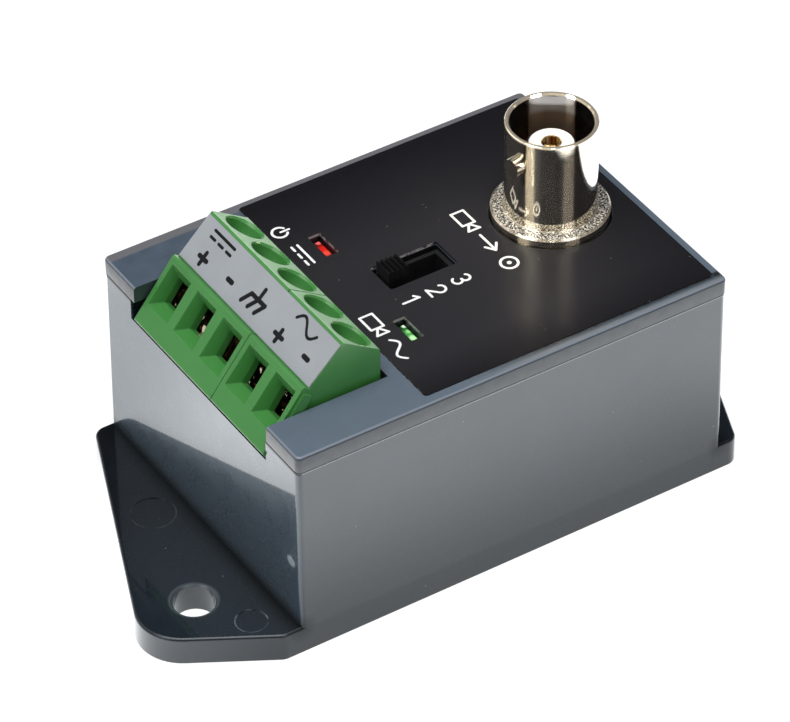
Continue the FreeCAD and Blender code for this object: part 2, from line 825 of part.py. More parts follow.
def make_jack_shell():
    base_top = box_height + jack_base_rise
    barrel = jack_barrel / 2
    base = jack_base / 2
    socket_floor = jack_top - jack_socket_depth
    neck = insulator_diameter / 2 + insulator_fit
    pocket = insulator_flange / 2 + insulator_fit
    pocket_top = board_top + insulator_flange_height + insulator_fit
    rim = jack_rim_bevel
    outline = [
        (pocket, board_top),
        (base, board_top),
        (base, base_top - jack_base_edge),
        (base - jack_base_edge, base_top),
        (barrel + jack_foot_radius, base_top),
        (barrel, base_top + jack_foot_radius),
        (barrel, jack_top - jack_rim_edge),
        (barrel - jack_rim_edge, jack_top),
        (jack_rim_bore / 2, jack_top),
        (jack_bore / 2, jack_top - rim),
        (jack_bore / 2, socket_floor),
        (neck, socket_floor),
        (neck, pocket_top),
        (pocket, pocket_top),
    ]
    body = turned(outline, jack_x, jack_y)
    lug_z = jack_top - bayonet_drop
    lugs = []
    for turn in (0, 180):
        angle = math.radians(turn + bayonet_angle)
        out = Vector(math.cos(angle), math.sin(angle), 0)
        start = Vector(jack_x, jack_y, lug_z) + out * (barrel - (jack_barrel - jack_bore) / 4)
        length = bayonet_reach + (jack_barrel - jack_bore) / 4
        lugs.append(Part.makeCylinder(bayonet_diameter / 2, length, start, out))
    legs = [rod(x, y, lead_end, board_top, jack_leg_diameter) for x, y in jack_leg_places()]
    return joined([body] + lugs + legs)


def make_jack_insulator():
    top = jack_top - insulator_drop
    radius = insulator_diameter / 2
    flange = insulator_flange / 2
    hole = contact_diameter / 2 + insulator_fit
    outline = [
        (hole, board_top),
        (flange, board_top),
        (flange, board_top + insulator_flange_height),
        (radius, board_top + insulator_flange_height),
        (radius, top - insulator_edge),
        (radius - insulator_edge, top),
        (hole, top),
    ]
    return turned(outline, jack_x, jack_y)


def make_jack_contact():
    top = jack_top - insulator_drop + contact_rise
    radius = contact_diameter / 2
    outline = [
        (0, lead_end),
        (contact_tail / 2, lead_end),
        (contact_tail / 2, board_top),
        (radius, board_top),
        (radius, top - contact_rise),
        (radius - contact_rise, top),
        (contact_bore / 2, top),
        (contact_bore / 2, top - contact_bore_depth),
        (0, top - contact_bore_depth),
    ]
    body = turned(outline, jack_x, jack_y)
    slot_low = top - contact_slot_depth
    slots = []
    for size in ((contact_diameter, contact_slot), (contact_slot, contact_diameter)):
        slots.append(centred_box(jack_x, jack_y, (size[0], size[1], contact_slot_depth), slot_low))
    return body.cut(slots)


# Lights
def make_light(x, y):
    shoulder = lid_under - light_shoulder_gap
    tip = box_height - light_tip_drop
    lower = centred_box(x, y, (light_body[0], light_body[1], shoulder - board_top), board_top)
    length = light_window[0] - 2 * light_clearance
    width = light_window[1] - 2 * light_clearance
    lens = centred_box(x, y, (length, width, tip - board_top), board_top)
    crown = [edge for edge in lens.Edges if edge.BoundBox.ZMin > shoulder]
    lens = lens.makeFillet(light_tip_round, crown)
    leads = []
    for side in (-1, 1):
        lead_y = y + side * light_lead_spacing / 2
        leads.append(centred_box(x, lead_y, (light_lead, light_lead, board_top - lead_end), lead_end))
    return joined([lower, lens] + leads)


# Electronics
def make_capacitor(x, y):
    base_top = board_top + capacitor_base_height
    top = board_top + capacitor_height + capacitor_base_height / 2
    base = centred_box(x, y, (capacitor_base, capacitor_base, capacitor_base_height), board_top)
    corners = [edge for edge in base.Edges
               if edge.BoundBox.ZLength > capacitor_base_height / 2 and edge.BoundBox.Center.x > x]
    base = base.makeChamfer(capacitor_base / 5, corners)
    radius = capacitor_diameter / 2
    neck = capacitor_neck / 2
    bead = radius - neck
    outline = [
        (0, base_top),
        (neck, base_top),
        (radius, base_top + bead),
        (radius, top - bead),
        (neck, top),
        (0, top),
    ]
    return joined([base, turned(outline, x, y)])


def make_driver():
    x = jack_x - driver_to_jack
    y = driver_to_edge - board_edge
    lift = driver_leg[2] / 2
    body = centred_box(x, y, (driver_size[0], driver_size[1], driver_size[2] - lift), board_top + lift)
    top_edges = [edge for edge in body.Edges if edge.BoundBox.ZMin > board_top + driver_size[2] / 2]
    body = body.makeChamfer(driver_leg[2], top_edges)
    legs = []
    for side in (-1, 1):
        for index in range(4):
            leg_centre_x = x + (index - 1.5) * driver_leg_pitch
            leg_centre_y = y + side * (driver_size[1] / 2 + driver_leg[1] / 2)
            foot = centred_box(leg_centre_x, leg_centre_y, driver_leg, board_top)
            shoulder_y = y + side * (driver_size[1] / 2 + driver_leg[2] / 2)
            shoulder = centred_box(
                leg_centre_x, shoulder_y, (driver_leg[0], driver_leg[2], driver_size[2] / 2), board_top)
            legs += [foot, shoulder]
    return joined([body] + legs)


def make_regulator():
    x = jack_x - regulator_to_jack
    y = board_edge - regulator_to_edge
    body = centred_box(x, y, regulator_size, board_top)
    top_edges = [edge for edge in body.Edges if edge.BoundBox.ZMin > board_top + regulator_size[2] / 2]
    body = body.makeChamfer(regulator_tab[2] / 2, top_edges)
    tab_y = y + regulator_size[1] / 2 + regulator_tab[1] / 2
    pieces = [body, centred_box(x, tab_y, regulator_tab, board_top)]
    leg_y = y - regulator_size[1] / 2 - regulator_tab[1] / 2
    leg = (regulator_tab[2], regulator_tab[1], regulator_tab[2])
    for index in (-1, 0, 1):
        pieces.append(centred_box(x + index * regulator_size[0] / 3, leg_y, leg, board_top))
    return joined(pieces)


def make_diode():
    x = switch_x - diode_to_switch
    y = board_edge - diode_to_edge
    body = centred_box(x, y, diode_size, board_top)
    top_edges = [edge for edge in body.Edges if edge.BoundBox.ZMin > board_top + diode_size[2] / 2]
    body = body.makeChamfer(diode_lead[2], top_edges)
    pieces = [body]
    for side in (-1, 1):
        lead_x = x + side * (diode_size[0] / 2 + diode_lead[0] / 2)
        pieces.append(centred_box(lead_x, y, (diode_lead[0], diode_lead[1], diode_size[2] / 2), board_top))
    return joined(pieces)


def make_choke():
    x = switch_x - choke_to_switch
    y = choke_to_edge - board_edge
    low = centred_box(x, y, (choke_size[0], choke_size[1], choke_flange), board_top)
    high = centred_box(
        x, y, (choke_size[0], choke_size[1], choke_flange), board_top + choke_size[2] - choke_flange)
    waist = (choke_size[0] - choke_waist, choke_size[1] - choke_waist, choke_size[2])
    return joined([low, high, centred_box(x, y, waist, board_top)])


def make_resistor(x, y):
    body = centred_box(x, y, resistor_size, board_top)
    long_edges = [edge for edge in body.Edges
                  if edge.BoundBox.YLength > resistor_size[1] / 2 and edge.BoundBox.ZMin > board_top]
    return body.makeChamfer(resistor_size[2] / 6, long_edges)


def both_sides(x, y):
    return [(x, y), (x, -y)]


def all_nodes():
    poles = pole_places()
    nodes = {
        "housing": make_housing(),
        "lid": make_lid(),
        "lid_film": make_film(),
        "terminal_block_3way": make_block(poles[:three_way_count], strip_high_y),
        "terminal_block_2way": make_block(poles[three_way_count:], strip_seam_y),
        "terminal_label": make_label(),
        "circuit_board": make_board(),
        "board_screws": make_board_screws(),
        "switch_body": make_switch_body(),
        "switch_base": make_switch_base(),
        "switch_knob": make_switch_knob(),
        "switch_contact": make_switch_contact(),
        "jack_shell": make_jack_shell(),
        "jack_insulator": make_jack_insulator(),
        "jack_contact": make_jack_contact(),
        "driver_chip": make_driver(),
        "voltage_regulator": make_regulator(),
        "surge_diode": make_diode(),
        "line_choke": make_choke(),
    }
    for index, pole_y in enumerate(poles, start=1):
        nodes["clamp_screw_%d" % index] = make_clamp_screw(pole_y)
        nodes["wire_clamp_%d" % index] = make_wire_clamp(pole_y)
        nodes["terminal_pin_%d" % index] = make_terminal_pin(pole_y)
    for index, x in enumerate(switch_pin_places(), start=1):
        nodes["switch_pin_%d" % index] = make_switch_pin(x)
    for name, (x, y) in light_places.items():
        nodes[name] = make_light(x, y)
    capacitor_x = switch_x + capacitor_to_switch
    capacitor_y = board_edge - capacitor_to_edge
    capacitor_places = both_sides(capacitor_x, capacitor_y)
    for index, (x, y) in enumerate(capacitor_places, start=1):
        nodes["capacitor_%d" % index] = make_capacitor(x, y)
    resistor_x = capacitor_x + capacitor_base / 2 + resistor_gap + resistor_size[0] / 2
    resistor_places = both_sides(resistor_x, capacitor_y - resistor_inset)
    resistor_places += both_sides(strip_back + resistor_to_strip[0], resistor_to_strip[1])
    for index, (x, y) in enumerate(resistor_places, start=1):
        nodes["resistor_%d" % index] = make_resistor(x, y)
    return nodes


os.makedirs("parts", exist_ok=True)
for name, shape in all_nodes().items():
    shape.exportStep("parts/%s.step" % name)
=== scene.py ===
import math

import bmesh
import bpy
from mathutils import Matrix, Vector


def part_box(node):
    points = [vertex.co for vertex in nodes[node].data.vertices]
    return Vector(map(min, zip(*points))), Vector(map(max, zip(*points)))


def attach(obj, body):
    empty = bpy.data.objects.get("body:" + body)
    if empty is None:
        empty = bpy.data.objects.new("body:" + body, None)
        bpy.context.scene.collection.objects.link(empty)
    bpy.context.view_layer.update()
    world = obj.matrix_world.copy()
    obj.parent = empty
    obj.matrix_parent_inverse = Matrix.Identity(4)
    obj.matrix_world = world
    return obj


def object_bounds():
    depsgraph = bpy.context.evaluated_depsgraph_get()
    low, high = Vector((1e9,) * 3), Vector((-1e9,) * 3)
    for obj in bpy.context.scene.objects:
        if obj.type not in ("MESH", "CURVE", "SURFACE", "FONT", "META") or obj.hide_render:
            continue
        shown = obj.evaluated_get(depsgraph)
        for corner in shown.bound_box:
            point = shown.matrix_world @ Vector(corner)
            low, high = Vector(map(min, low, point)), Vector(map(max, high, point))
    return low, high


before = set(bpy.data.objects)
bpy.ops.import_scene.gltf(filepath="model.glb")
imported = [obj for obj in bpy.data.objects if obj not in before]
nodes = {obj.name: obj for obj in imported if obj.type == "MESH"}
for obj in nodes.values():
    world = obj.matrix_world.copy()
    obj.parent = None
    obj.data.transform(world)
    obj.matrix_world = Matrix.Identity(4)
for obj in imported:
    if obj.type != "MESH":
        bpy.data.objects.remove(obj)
cad_low, cad_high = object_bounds()

MM = 0.001
BASE_BODY = "base"

# Camera, as the photograph was taken
view_azimuth = -32.314
view_elevation = 40.04
view_roll = -0.5
view_distance = 524.253 * MM
view_offset = (2.121 * MM, 10.008 * MM)
picture_width_pixels = 790
focal_pixels = 5008.318
sensor_width = 36.0

# Studio: the camera, matt faces and glossy faces each see the floor and the sky in their own way.
# Patches on the floor are a place and a radius in millimetres, and a strength.
# Cards in the sky are a direction, a half angle in degrees and a strength.
floor_size = 6.0
floor_albedo = 0.8
floor_shadow_share = 0.3
floor_glow = 0.8
mirror_floor_share = 0.0
mirror_floor_near = 0.9
mirror_floor_far = 2.1
mirror_floor_reach = 22 * MM
mirror_floor_fade = (50 * MM, 120 * MM, 1.3)
mirror_floor_patches = (((-36, 13), 26, 0.6), ((-38, 36), 22, -0.75))
world_level = 0.42
world_colour = (1.0, 0.99, 0.975)
mirror_sky_level = 0.05
mirror_sky_cards = (
    ((0.093, -0.76, 0.643), 18, 2.4),
    ((-0.757, -0.12, 0.643), 20, 3.4),
    ((-0.52, 0.65, 0.55), 32, 0.8))

# Soft boxes: azimuth (0 is -Y) and elevation in degrees, watts, size in metres and colour
lamp_distance = 0.75
lamps = {
    "top_box": (-60, 80, 5.4, (0.6, 0.6), (1.0, 0.985, 0.95)),
    "left_box": (-81, 16, 36.0, (0.25, 0.4), (1.0, 0.90, 0.70)),
    "right_box": (7, 16, 9.0, (0.3, 0.4), (1.0, 0.88, 0.76)),
    "back_box": (128, 14, 1.4, (0.3, 0.3), (1.0, 1.0, 1.0)),
}
jack_lamps = ("left_box", "right_box")
strip_lamp = "back_box"

# Print on the film and the label
film_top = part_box("lid_film")[1].z
print_thickness = 0.012 * MM
print_step = 0.06
film_stroke = 0.27 * MM
label_stroke = 0.42 * MM
cap_segments = 8
arc_segments = 24
wave_segments = 32
bend_limit = 0.5


def add_camera():
    azimuth, elevation, roll = (math.radians(a) for a in (view_azimuth, view_elevation, view_roll))
    back = Vector((
        math.sin(azimuth) * math.cos(elevation),
        -math.cos(azimuth) * math.cos(elevation),
        math.sin(elevation)))
    level_right = (-back).cross(Vector((0, 0, 1))).normalized()
    level_down = (-back).cross(level_right)
    right = level_right * math.cos(roll) - level_down * math.sin(roll)
    down = level_right * math.sin(roll) + level_down * math.cos(roll)
    place = back * view_distance - right * view_offset[0] - down * view_offset[1]
    data = bpy.data.cameras.new("camera")
    data.sensor_fit = "HORIZONTAL"
    data.sensor_width = sensor_width
    data.lens = focal_pixels / picture_width_pixels * sensor_width
    data.clip_start = 0.01
    data.clip_end = 20
    camera = bpy.data.objects.new("camera", data)
    bpy.context.scene.collection.objects.link(camera)
    axes = Matrix((right, -down, back)).transposed()
    camera.matrix_world = Matrix.Translation(place) @ axes.to_4x4()
    bpy.context.scene.camera = camera


def ray_mask(tree, names):
    """Factor that is 1 for the named kinds of ray."""
    path = tree.nodes.new("ShaderNodeLightPath")
    mask = path.outputs[names[0]]
    for name in names[1:]:
        either = tree.nodes.new("ShaderNodeMath")
        either.operation = "MAXIMUM"
        tree.links.new(mask, either.inputs[0])
        tree.links.new(path.outputs[name], either.inputs[1])
        mask = either.outputs["Value"]
    return mask


def soft_step(tree, value, start, end, low, high):
    """Smooth rise from low to high while the value goes from start to end."""
    made = tree.nodes.new("ShaderNodeMapRange")
    made.interpolation_type = "SMOOTHSTEP"
    made.inputs["From Min"].default_value = start
    made.inputs["From Max"].default_value = end
    made.inputs["To Min"].default_value = low
    made.inputs["To Max"].default_value = high
    tree.links.new(value, made.inputs["Value"])
    return made.outputs["Result"]


def total(tree, first, second):
    """Sum of two sockets or numbers; None stands for nothing yet."""
    if first is None:
        return second
    made = tree.nodes.new("ShaderNodeMath")
    for index, value in enumerate((first, second)):
        if isinstance(value, float):
            made.inputs[index].default_value = value
        else:
            tree.links.new(value, made.inputs[index])
    return made.outputs["Value"]


def vector_math(tree, operation, first, second=None):
    """Outputs of a vector operation on a socket and, where it takes one, a fixed vector."""
    made = tree.nodes.new("ShaderNodeVectorMath")
    made.operation = operation
    tree.links.new(first, made.inputs[0])
    if second is not None:
        made.inputs[1].default_value = second
    return made.outputs


def mixed_shader(tree, factor, first, second):
    mixed = tree.nodes.new("ShaderNodeMixShader")
    tree.links.new(factor, mixed.inputs["Fac"])
    tree.links.new(first, mixed.inputs[1])
    tree.links.new(second, mixed.inputs[2])
    return mixed.outputs["Shader"]


class Finish:
    """A material being made: one principled shader and the textures that vary it."""

    def __init__(self, name, colour, roughness, metallic=0.0, ior=1.5, coat=0.0,
                 coat_roughness=0.05, specular=0.5):
        self.material = bpy.data.materials.new(name)
        self.material.use_nodes = True
        self.tree = self.material.node_tree
        self.shader = self.tree.nodes["Principled BSDF"]
        self.colour = colour
        self.set("Base Color", (*colour, 1.0))
        self.set("Roughness", roughness)
        self.set("Metallic", metallic)
        self.set("IOR", ior)
        self.set("Specular IOR Level", specular)
        self.set("Coat Weight", coat)
        self.set("Coat Roughness", coat_roughness)

    def set(self, socket, value):
        self.shader.inputs[socket].default_value = value

    def node(self, kind, **values):
        made = self.tree.nodes.new(kind)
        for key, value in values.items():
            setattr(made, key, value)
        return made

    def link(self, source, target):
        self.tree.links.new(source, target)

    def feed(self, socket, source):
        """Link a source to a socket of the shader."""
        self.link(source, self.shader.inputs[socket])

    def place(self, stretch=(1, 1, 1)):
        """Object coordinates in millimetres, stretched along each axis."""
        coordinates = self.node("ShaderNodeTexCoord")
        mapping = self.node("ShaderNodeMapping")
        mapping.inputs["Scale"].default_value = [factor / MM for factor in stretch]
        self.link(coordinates.outputs["Object"], mapping.inputs["Vector"])
        return mapping.outputs["Vector"]

    def axes(self):
        """Object coordinates in millimetres as the sockets X, Y and Z."""
        made = self.node("ShaderNodeSeparateXYZ")
        self.link(self.place(), made.inputs["Vector"])
        return made.outputs

    def distance(self, centre, stretch=(1, 1, 1)):
        """Distance from a centre in millimetres, with each axis stretched."""
        point = [at * factor for at, factor in zip(centre, stretch)]
        return vector_math(self.tree, "DISTANCE", self.place(stretch), point)["Value"]

    def absolute(self, value):
        made = self.node("ShaderNodeMath", operation="ABSOLUTE")
        self.link(value, made.inputs[0])
        return made.outputs["Value"]

    def facing_up(self, start=0.6, end=0.9):
        """0 to 1 while the upward part of the normal goes from start to end."""
        geometry = self.node("ShaderNodeNewGeometry")
        parts = self.node("ShaderNodeSeparateXYZ")
        self.link(geometry.outputs["Normal"], parts.inputs["Vector"])
        return self.rise(parts.outputs["Z"], start, end)

    def noise(self, scale, detail=3.0, roughness=0.5, stretch=(1, 1, 1)):
        """Noise whose features are about 1 / scale millimetres."""
        made = self.node("ShaderNodeTexNoise")
        made.inputs["Scale"].default_value = scale
        made.inputs["Detail"].default_value = detail
        made.inputs["Roughness"].default_value = roughness
        self.link(self.place(stretch), made.inputs["Vector"])
        return made.outputs["Fac"]

    def ramp(self, factor, low, high, start=0.3, end=0.7):
        """Colour from low to high while the factor goes from start to end."""
        made = self.node("ShaderNodeValToRGB")
        first, last = made.color_ramp.elements
        first.position = start
        last.position = end
        first.color = (*low, 1.0)
        last.color = (*high, 1.0)
        self.link(factor, made.inputs["Fac"])
        return made.outputs["Color"]

    def spread(self, factor, low, high, start=0.0, end=1.0):
        """From low to high while the factor goes from start to end."""
        made = self.node("ShaderNodeMapRange")
        made.inputs["From Min"].default_value = start
        made.inputs["From Max"].default_value = end
        made.inputs["To Min"].default_value = low
        made.inputs["To Max"].default_value = high
        self.link(factor, made.inputs["Value"])
        return made.outputs["Result"]

    def rise(self, value, start, end):
        return self.spread(value, 0.0, 1.0, start, end)

    def fall(self, value, start, end):
        return self.spread(value, 1.0, 0.0, start, end)

    def inverse(self, mask):
        return self.spread(mask, 1.0, 0.0)

    def product(self, first, *others):
        """Product of a socket and of other sockets or numbers."""
        for other in others:
            made = self.node("ShaderNodeMath", operation="MULTIPLY")
            self.link(first, made.inputs[0])
            if isinstance(other, float):
                made.inputs[1].default_value = other
            else:
                self.link(other, made.inputs[1])
            first = made.outputs["Value"]
        return first

    def mix(self, factor, first, second):
        """Colour between two colours or sockets."""
        made = self.node("ShaderNodeMix", data_type="RGBA")
        self.link(factor, made.inputs["Factor"])
        for name, value in (("A", first), ("B", second)):
            socket = [s for s in made.inputs if s.name == name and s.type == "RGBA"][0]
            if isinstance(value, tuple):
                socket.default_value = (*value, 1.0)
            else:
                self.link(value, socket)
        return [s for s in made.outputs if s.type == "RGBA"][0]

    def mottle(self, scale, amount):
        """Colour that wanders a little about the base colour."""
        low = tuple(c * (1 - amount) for c in self.colour)
        high = tuple(min(1.0, c * (1 + amount)) for c in self.colour)
        colour = self.ramp(self.noise(scale, 4.0), low, high)
        self.feed("Base Color", colour)
        return colour

    def gloss(self, scale, low, high):
        """Roughness that wanders between low and high."""
        self.feed("Roughness", self.spread(self.noise(scale), low, high, 0.3, 0.7))

    def soften(self, radius):
        """Shade sharp edges as if they were rounded, radius in millimetres."""
        made = self.node("ShaderNodeBevel")
        made.samples = 6
        made.inputs["Radius"].default_value = radius * MM
        self.feed("Normal", made.outputs["Normal"])

    def bump(self, height, depth, strength=1.0):
        """Relief from a height socket, depth in millimetres."""
        made = self.node("ShaderNodeBump")
        made.inputs["Distance"].default_value = depth * MM
        made.inputs["Strength"].default_value = strength
        self.link(height, made.inputs["Height"])
        last = self.shader.inputs["Normal"]
        if last.is_linked:
            self.link(last.links[0].from_socket, made.inputs["Normal"])
        self.link(made.outputs["Normal"], last)

    def dust(self, colour_socket, scale, size, share, dust_colour):
        """Sparse pale specks over a colour, which becomes the base colour."""
        cells = self.node("ShaderNodeTexVoronoi")
        cells.inputs["Scale"].default_value = scale
        self.link(self.place(), cells.inputs["Vector"])
        near = self.spread(cells.outputs["Distance"], 1.0, 0.0, size * 0.5, size)
        picked = self.node("ShaderNodeSeparateColor")
        self.link(cells.outputs["Color"], picked.inputs["Color"])
        chosen = self.node("ShaderNodeMath", operation="LESS_THAN")
        chosen.inputs[1].default_value = share
        self.link(picked.outputs["Red"], chosen.inputs[0])
        specks = self.product(near, chosen.outputs["Value"])
        dusted = self.mix(specks, colour_socket, dust_colour)
        self.feed("Base Color", dusted)
        return dusted


# Corners of the lid and of the film, in millimetres
lid_low, lid_high = (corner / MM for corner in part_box("lid"))
film_low, film_high = (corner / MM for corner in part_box("lid_film"))

# Case, in millimetres: marks on the lugs are a place on the lug at the -X end and a radius
ejector_marks = (((-29.2, -15.1), 1.65), ((-29.2, 4.2), 2.35))
ejector_line = 0.085
lug_hole = ((-32.45, -9.35), 2.36)
lug_hole_line = 0.34
lug_top = 3.2
lug_side_band = 0.3
end_wall_x = lid_high.x
end_wall_range = (end_wall_x - 0.3, end_wall_x + 0.25)
mask_blur = 0.1
far_lug_y = (-9.0, 8.0)
far_lug_x = (lid_low.x - 0.9, lid_low.x - 0.2)
corner_shade = 1.8
# Pale spot on the near end wall: a painted reflection of the lug hole
hole_reflection_spot = ((lid_low.x, lid_low.y + 1.7, 11.0), 0.85)
hole_reflection_stretch = (1, 1, 1.2)
seam_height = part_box("housing")[1].z / MM
seam_line = 0.16
seam_shadow = 0.3
seam_front_y = (lid_low.y + 0.4, lid_low.y + 0.6)
seam_end_x = (lid_low.x + 0.4, lid_low.x + 0.6)

# Case colours
black = (0.0, 0.0, 0.0)
cool_tint = (0.86, 0.94, 1.0, 1.0)
cool_coat_tint = (0.9, 0.96, 1.0, 1.0)
case_plastic = (0.009, 0.013, 0.019)
case_dust = (0.30, 0.32, 0.34)
# Ejector rings are real marks; their pale colour is a painted highlight on their edges
ejector_ring_highlight = (0.34, 0.38, 0.42)
# Painted highlight on the chamfered rims of the lug holes
hole_edge_highlight = (0.06, 0.07, 0.08)
# Painted light on the end walls above the lugs, standing for their reflection
end_wall_painted_light = (0.042, 0.06, 0.08)
# Painted shade on the far part of the -X lug, standing for a dark reflection
far_lug_painted_shade = (0.003, 0.004, 0.007)
# Painted shade in the inner corners between the lugs and the end walls
corner_painted_shade = (0.002, 0.003, 0.004)
# Painted reflection of the lug hole on the near end wall
hole_reflection_pale = (0.36, 0.38, 0.40)
# Painted light and shade in the gap under the lid, and a painted glow there
seam_painted_light = (0.2, 0.21, 0.22)
seam_painted_shade = (0.003, 0.003, 0.004)
seam_painted_glow = (0.03, 0.032, 0.034)
gap_painted_glow = (0.085, 0.09, 0.094)


def ring_mask(finish, centre, radius, line=ejector_line):
    """1 on a thin circle about a centre in the plane of the base."""
    from_line = finish.node("ShaderNodeMath", operation="SUBTRACT")
    finish.link(finish.distance((*centre, 0), (1, 1, 0)), from_line.inputs[0])
    from_line.inputs[1].default_value = radius
    return finish.fall(finish.absolute(from_line.outputs["Value"]), line * 0.4, line)


def corner_mask(finish):
    """1 along the inner corner between a lug and its end wall, where shade is painted."""
    outward = vector_math(finish.tree, "ABSOLUTE", finish.place((1, 0, 1)))["Vector"]
    apart = vector_math(finish.tree, "DISTANCE", outward, (end_wall_x, 0, lug_top))["Value"]
    return finish.fall(apart, 0.0, corner_shade)


def add_ejector_rings_and_rim_highlights(finish, colour):
    """Broken rings of the ejectors and rims of the screw holes, drawn as painted highlights."""
    broken = finish.spread(finish.noise(0.9, 3.0), 0.0, 0.5, 0.38, 0.62)
    upward = finish.product(finish.facing_up(), broken)
    # Painted highlight along each ejector ring
    for (x, y), radius in ejector_marks:
        for side in (1, -1):
            ring = finish.product(ring_mask(finish, (x * side, y * side), radius), upward)
            colour = finish.mix(ring, colour, ejector_ring_highlight)
    # Painted highlight round the rim of each lug hole
    (x, y), radius = lug_hole
    for side in (1, -1):
        rim = ring_mask(finish, (x * side, y * side), radius, lug_hole_line)
        colour = finish.mix(rim, colour, hole_edge_highlight)
    return colour


def add_wall_shades(finish, colour, place, corner):
    """Painted light on the end walls, a painted reflection, painted shade on the lug and corners."""
    # Painted light over the end walls above the lugs
    along = finish.absolute(place["X"])
    low, high = end_wall_range
    end_wall_lit = finish.product(
        finish.rise(along, low, low + mask_blur),
        finish.fall(along, high - mask_blur, high),
        finish.rise(place["Z"], lug_top - mask_blur, lug_top),
        finish.inverse(finish.facing_up()))
    colour = finish.mix(end_wall_lit, colour, end_wall_painted_light)
    # Painted shade on the far part of the -X lug
    far_lug = finish.product(
        finish.rise(place["Y"], *far_lug_y), finish.fall(place["X"], *far_lug_x))
    colour = finish.mix(far_lug, colour, far_lug_painted_shade)
    # Painted shade in the inner corners
    colour = finish.mix(corner, colour, corner_painted_shade)
    # Painted reflection of the lug hole on the near end wall
    centre, radius = hole_reflection_spot
    pale = finish.fall(finish.distance(centre, hole_reflection_stretch), radius * 0.7, radius)
    return finish.mix(pale, colour, hole_reflection_pale)


def case_finish():
    """Moulded plastic, glossy skin, lug marks, painted light and shade, a painted glow under the lid.
    """
    finish = Finish("case_plastic", case_plastic, 0.28, coat=1.0, coat_roughness=0.04)
    finish.set("Specular Tint", cool_tint)
    finish.set("Coat Tint", cool_coat_tint)
    mottled = finish.mottle(0.12, 0.08)
    finish.gloss(0.35, 0.24, 0.32)
    finish.bump(finish.noise(0.1, 0.0), 0.16, 0.6)
    colour = finish.dust(mottled, 1.1, 0.09, 0.035, case_dust)
    place = finish.axes()
    corner = corner_mask(finish)
    colour = add_ejector_rings_and_rim_highlights(finish, colour)
    colour = add_wall_shades(finish, colour, place, corner)

    # Painted light along the gap under the lid on the -Y side, painted shade at the -X end
    long_side = finish.product(
        finish.rise(place["Z"], seam_height - seam_line, seam_height - seam_line / 2),
        finish.fall(place["Y"], *seam_front_y))
    short_side = finish.product(
        finish.rise(place["Z"], seam_height - seam_shadow, seam_height - seam_shadow / 2),
        finish.fall(place["X"], *seam_end_x))
    colour = finish.mix(long_side, colour, seam_painted_light)
    finish.feed("Base Color", finish.mix(short_side, colour, seam_painted_shade))

    rounded = finish.product(
        finish.facing_up(0.1, 0.3), finish.inverse(finish.facing_up(0.93, 0.99)))
    skin = finish.product(
        finish.inverse(short_side),
        finish.spread(corner, 1.0, 0.25),
        finish.spread(place["Z"], 0.8, 1.0, lug_top - lug_side_band, lug_top),
        finish.spread(rounded, 1.0, 0.35))
    finish.feed("Coat Weight", skin)
    finish.feed("Coat Roughness", finish.spread(rounded, 0.04, 0.5))

    # Painted glow in the gap under the lid on the -Y side
    glow = finish.mix(long_side, black, seam_painted_glow)
    gap = finish.product(long_side, finish.facing_up())
    finish.feed("Emission Color", finish.mix(gap, glow, gap_painted_glow))
    finish.set("Emission Strength", 1.0)
    return finish.material


# Lid, in millimetres: ranges over which its shades fade
lid_front_y = (-18.0, 14.0)
lid_far_y = (film_high.y - 0.45, film_high.y - 0.25)
lid_right_x = (-6.0, 4.0)
lid_near_edge_y = (lid_low.y + 0.4, lid_low.y + 0.7)
# Strip beside the near edge of the film that takes a painted shade
shade_outer_y = (lid_low.y + 0.5, lid_low.y + 1.05)
shade_inner_y = (film_low.y + 0.25, film_low.y + 0.35)
window_inset = (0.3, 0.4)
lid_skin_depth = 0.2

# Lid colours
lid_plastic = (0.057, 0.082, 0.119)
# Painted sheen on the lid top, growing towards the front
lid_front_painted_sheen = (0.094, 0.127, 0.172)
# Painted light on the strip of the lid beyond the film
lid_far_painted_light = (0.125, 0.127, 0.143)
# Painted light along the near edge of the lid, stronger to the right
lid_near_edge_painted_light = (0.15, 0.165, 0.185)
# Painted shade on the strip beside the film
lid_shade_beside_film = (0.006, 0.007, 0.008)
# Painted shade: a darker copy of the plastic on the upright sides
lid_side_painted_shade = (0.022, 0.030, 0.040)
# Painted highlight on the rounded edges of the lid
lid_edge_painted_highlight = (0.17, 0.20, 0.25)
# Painted shade on the walls of the windows
window_wall_painted_shade = (0.004, 0.004, 0.005)
lid_dust = (0.34, 0.37, 0.40)


def window_mask(finish, place):
    """1 over the area of the film, where only the walls of the windows show."""
    near, far = window_inset
    sides = []
    for axis in ("X", "Y"):
        low, high = (getattr(corner, axis.lower()) for corner in (film_low, film_high))
        sides.append(finish.rise(place[axis], low + near, low + far))
        sides.append(finish.fall(place[axis], high - far, high - near))
    return finish.product(*sides)


def add_film_border(finish, colour, place):
    """Painted light on the near edge and painted shade beside the film, both stronger to the right."""
    right = finish.rise(place["X"], *lid_right_x)
    edge = finish.product(right, finish.fall(place["Y"], *lid_near_edge_y))
    colour = finish.mix(edge, colour, lid_near_edge_painted_light)
    # Painted shade beside the film, broken by noise
    beside_film_shade = finish.product(
        finish.rise(place["Y"], *shade_outer_y),
        finish.fall(place["Y"], *shade_inner_y),
        finish.spread(finish.noise(3.0), 0.8, 1.0, 0.4, 0.6),
        right)
    return finish.mix(beside_film_shade, colour, lid_shade_beside_film), beside_film_shade


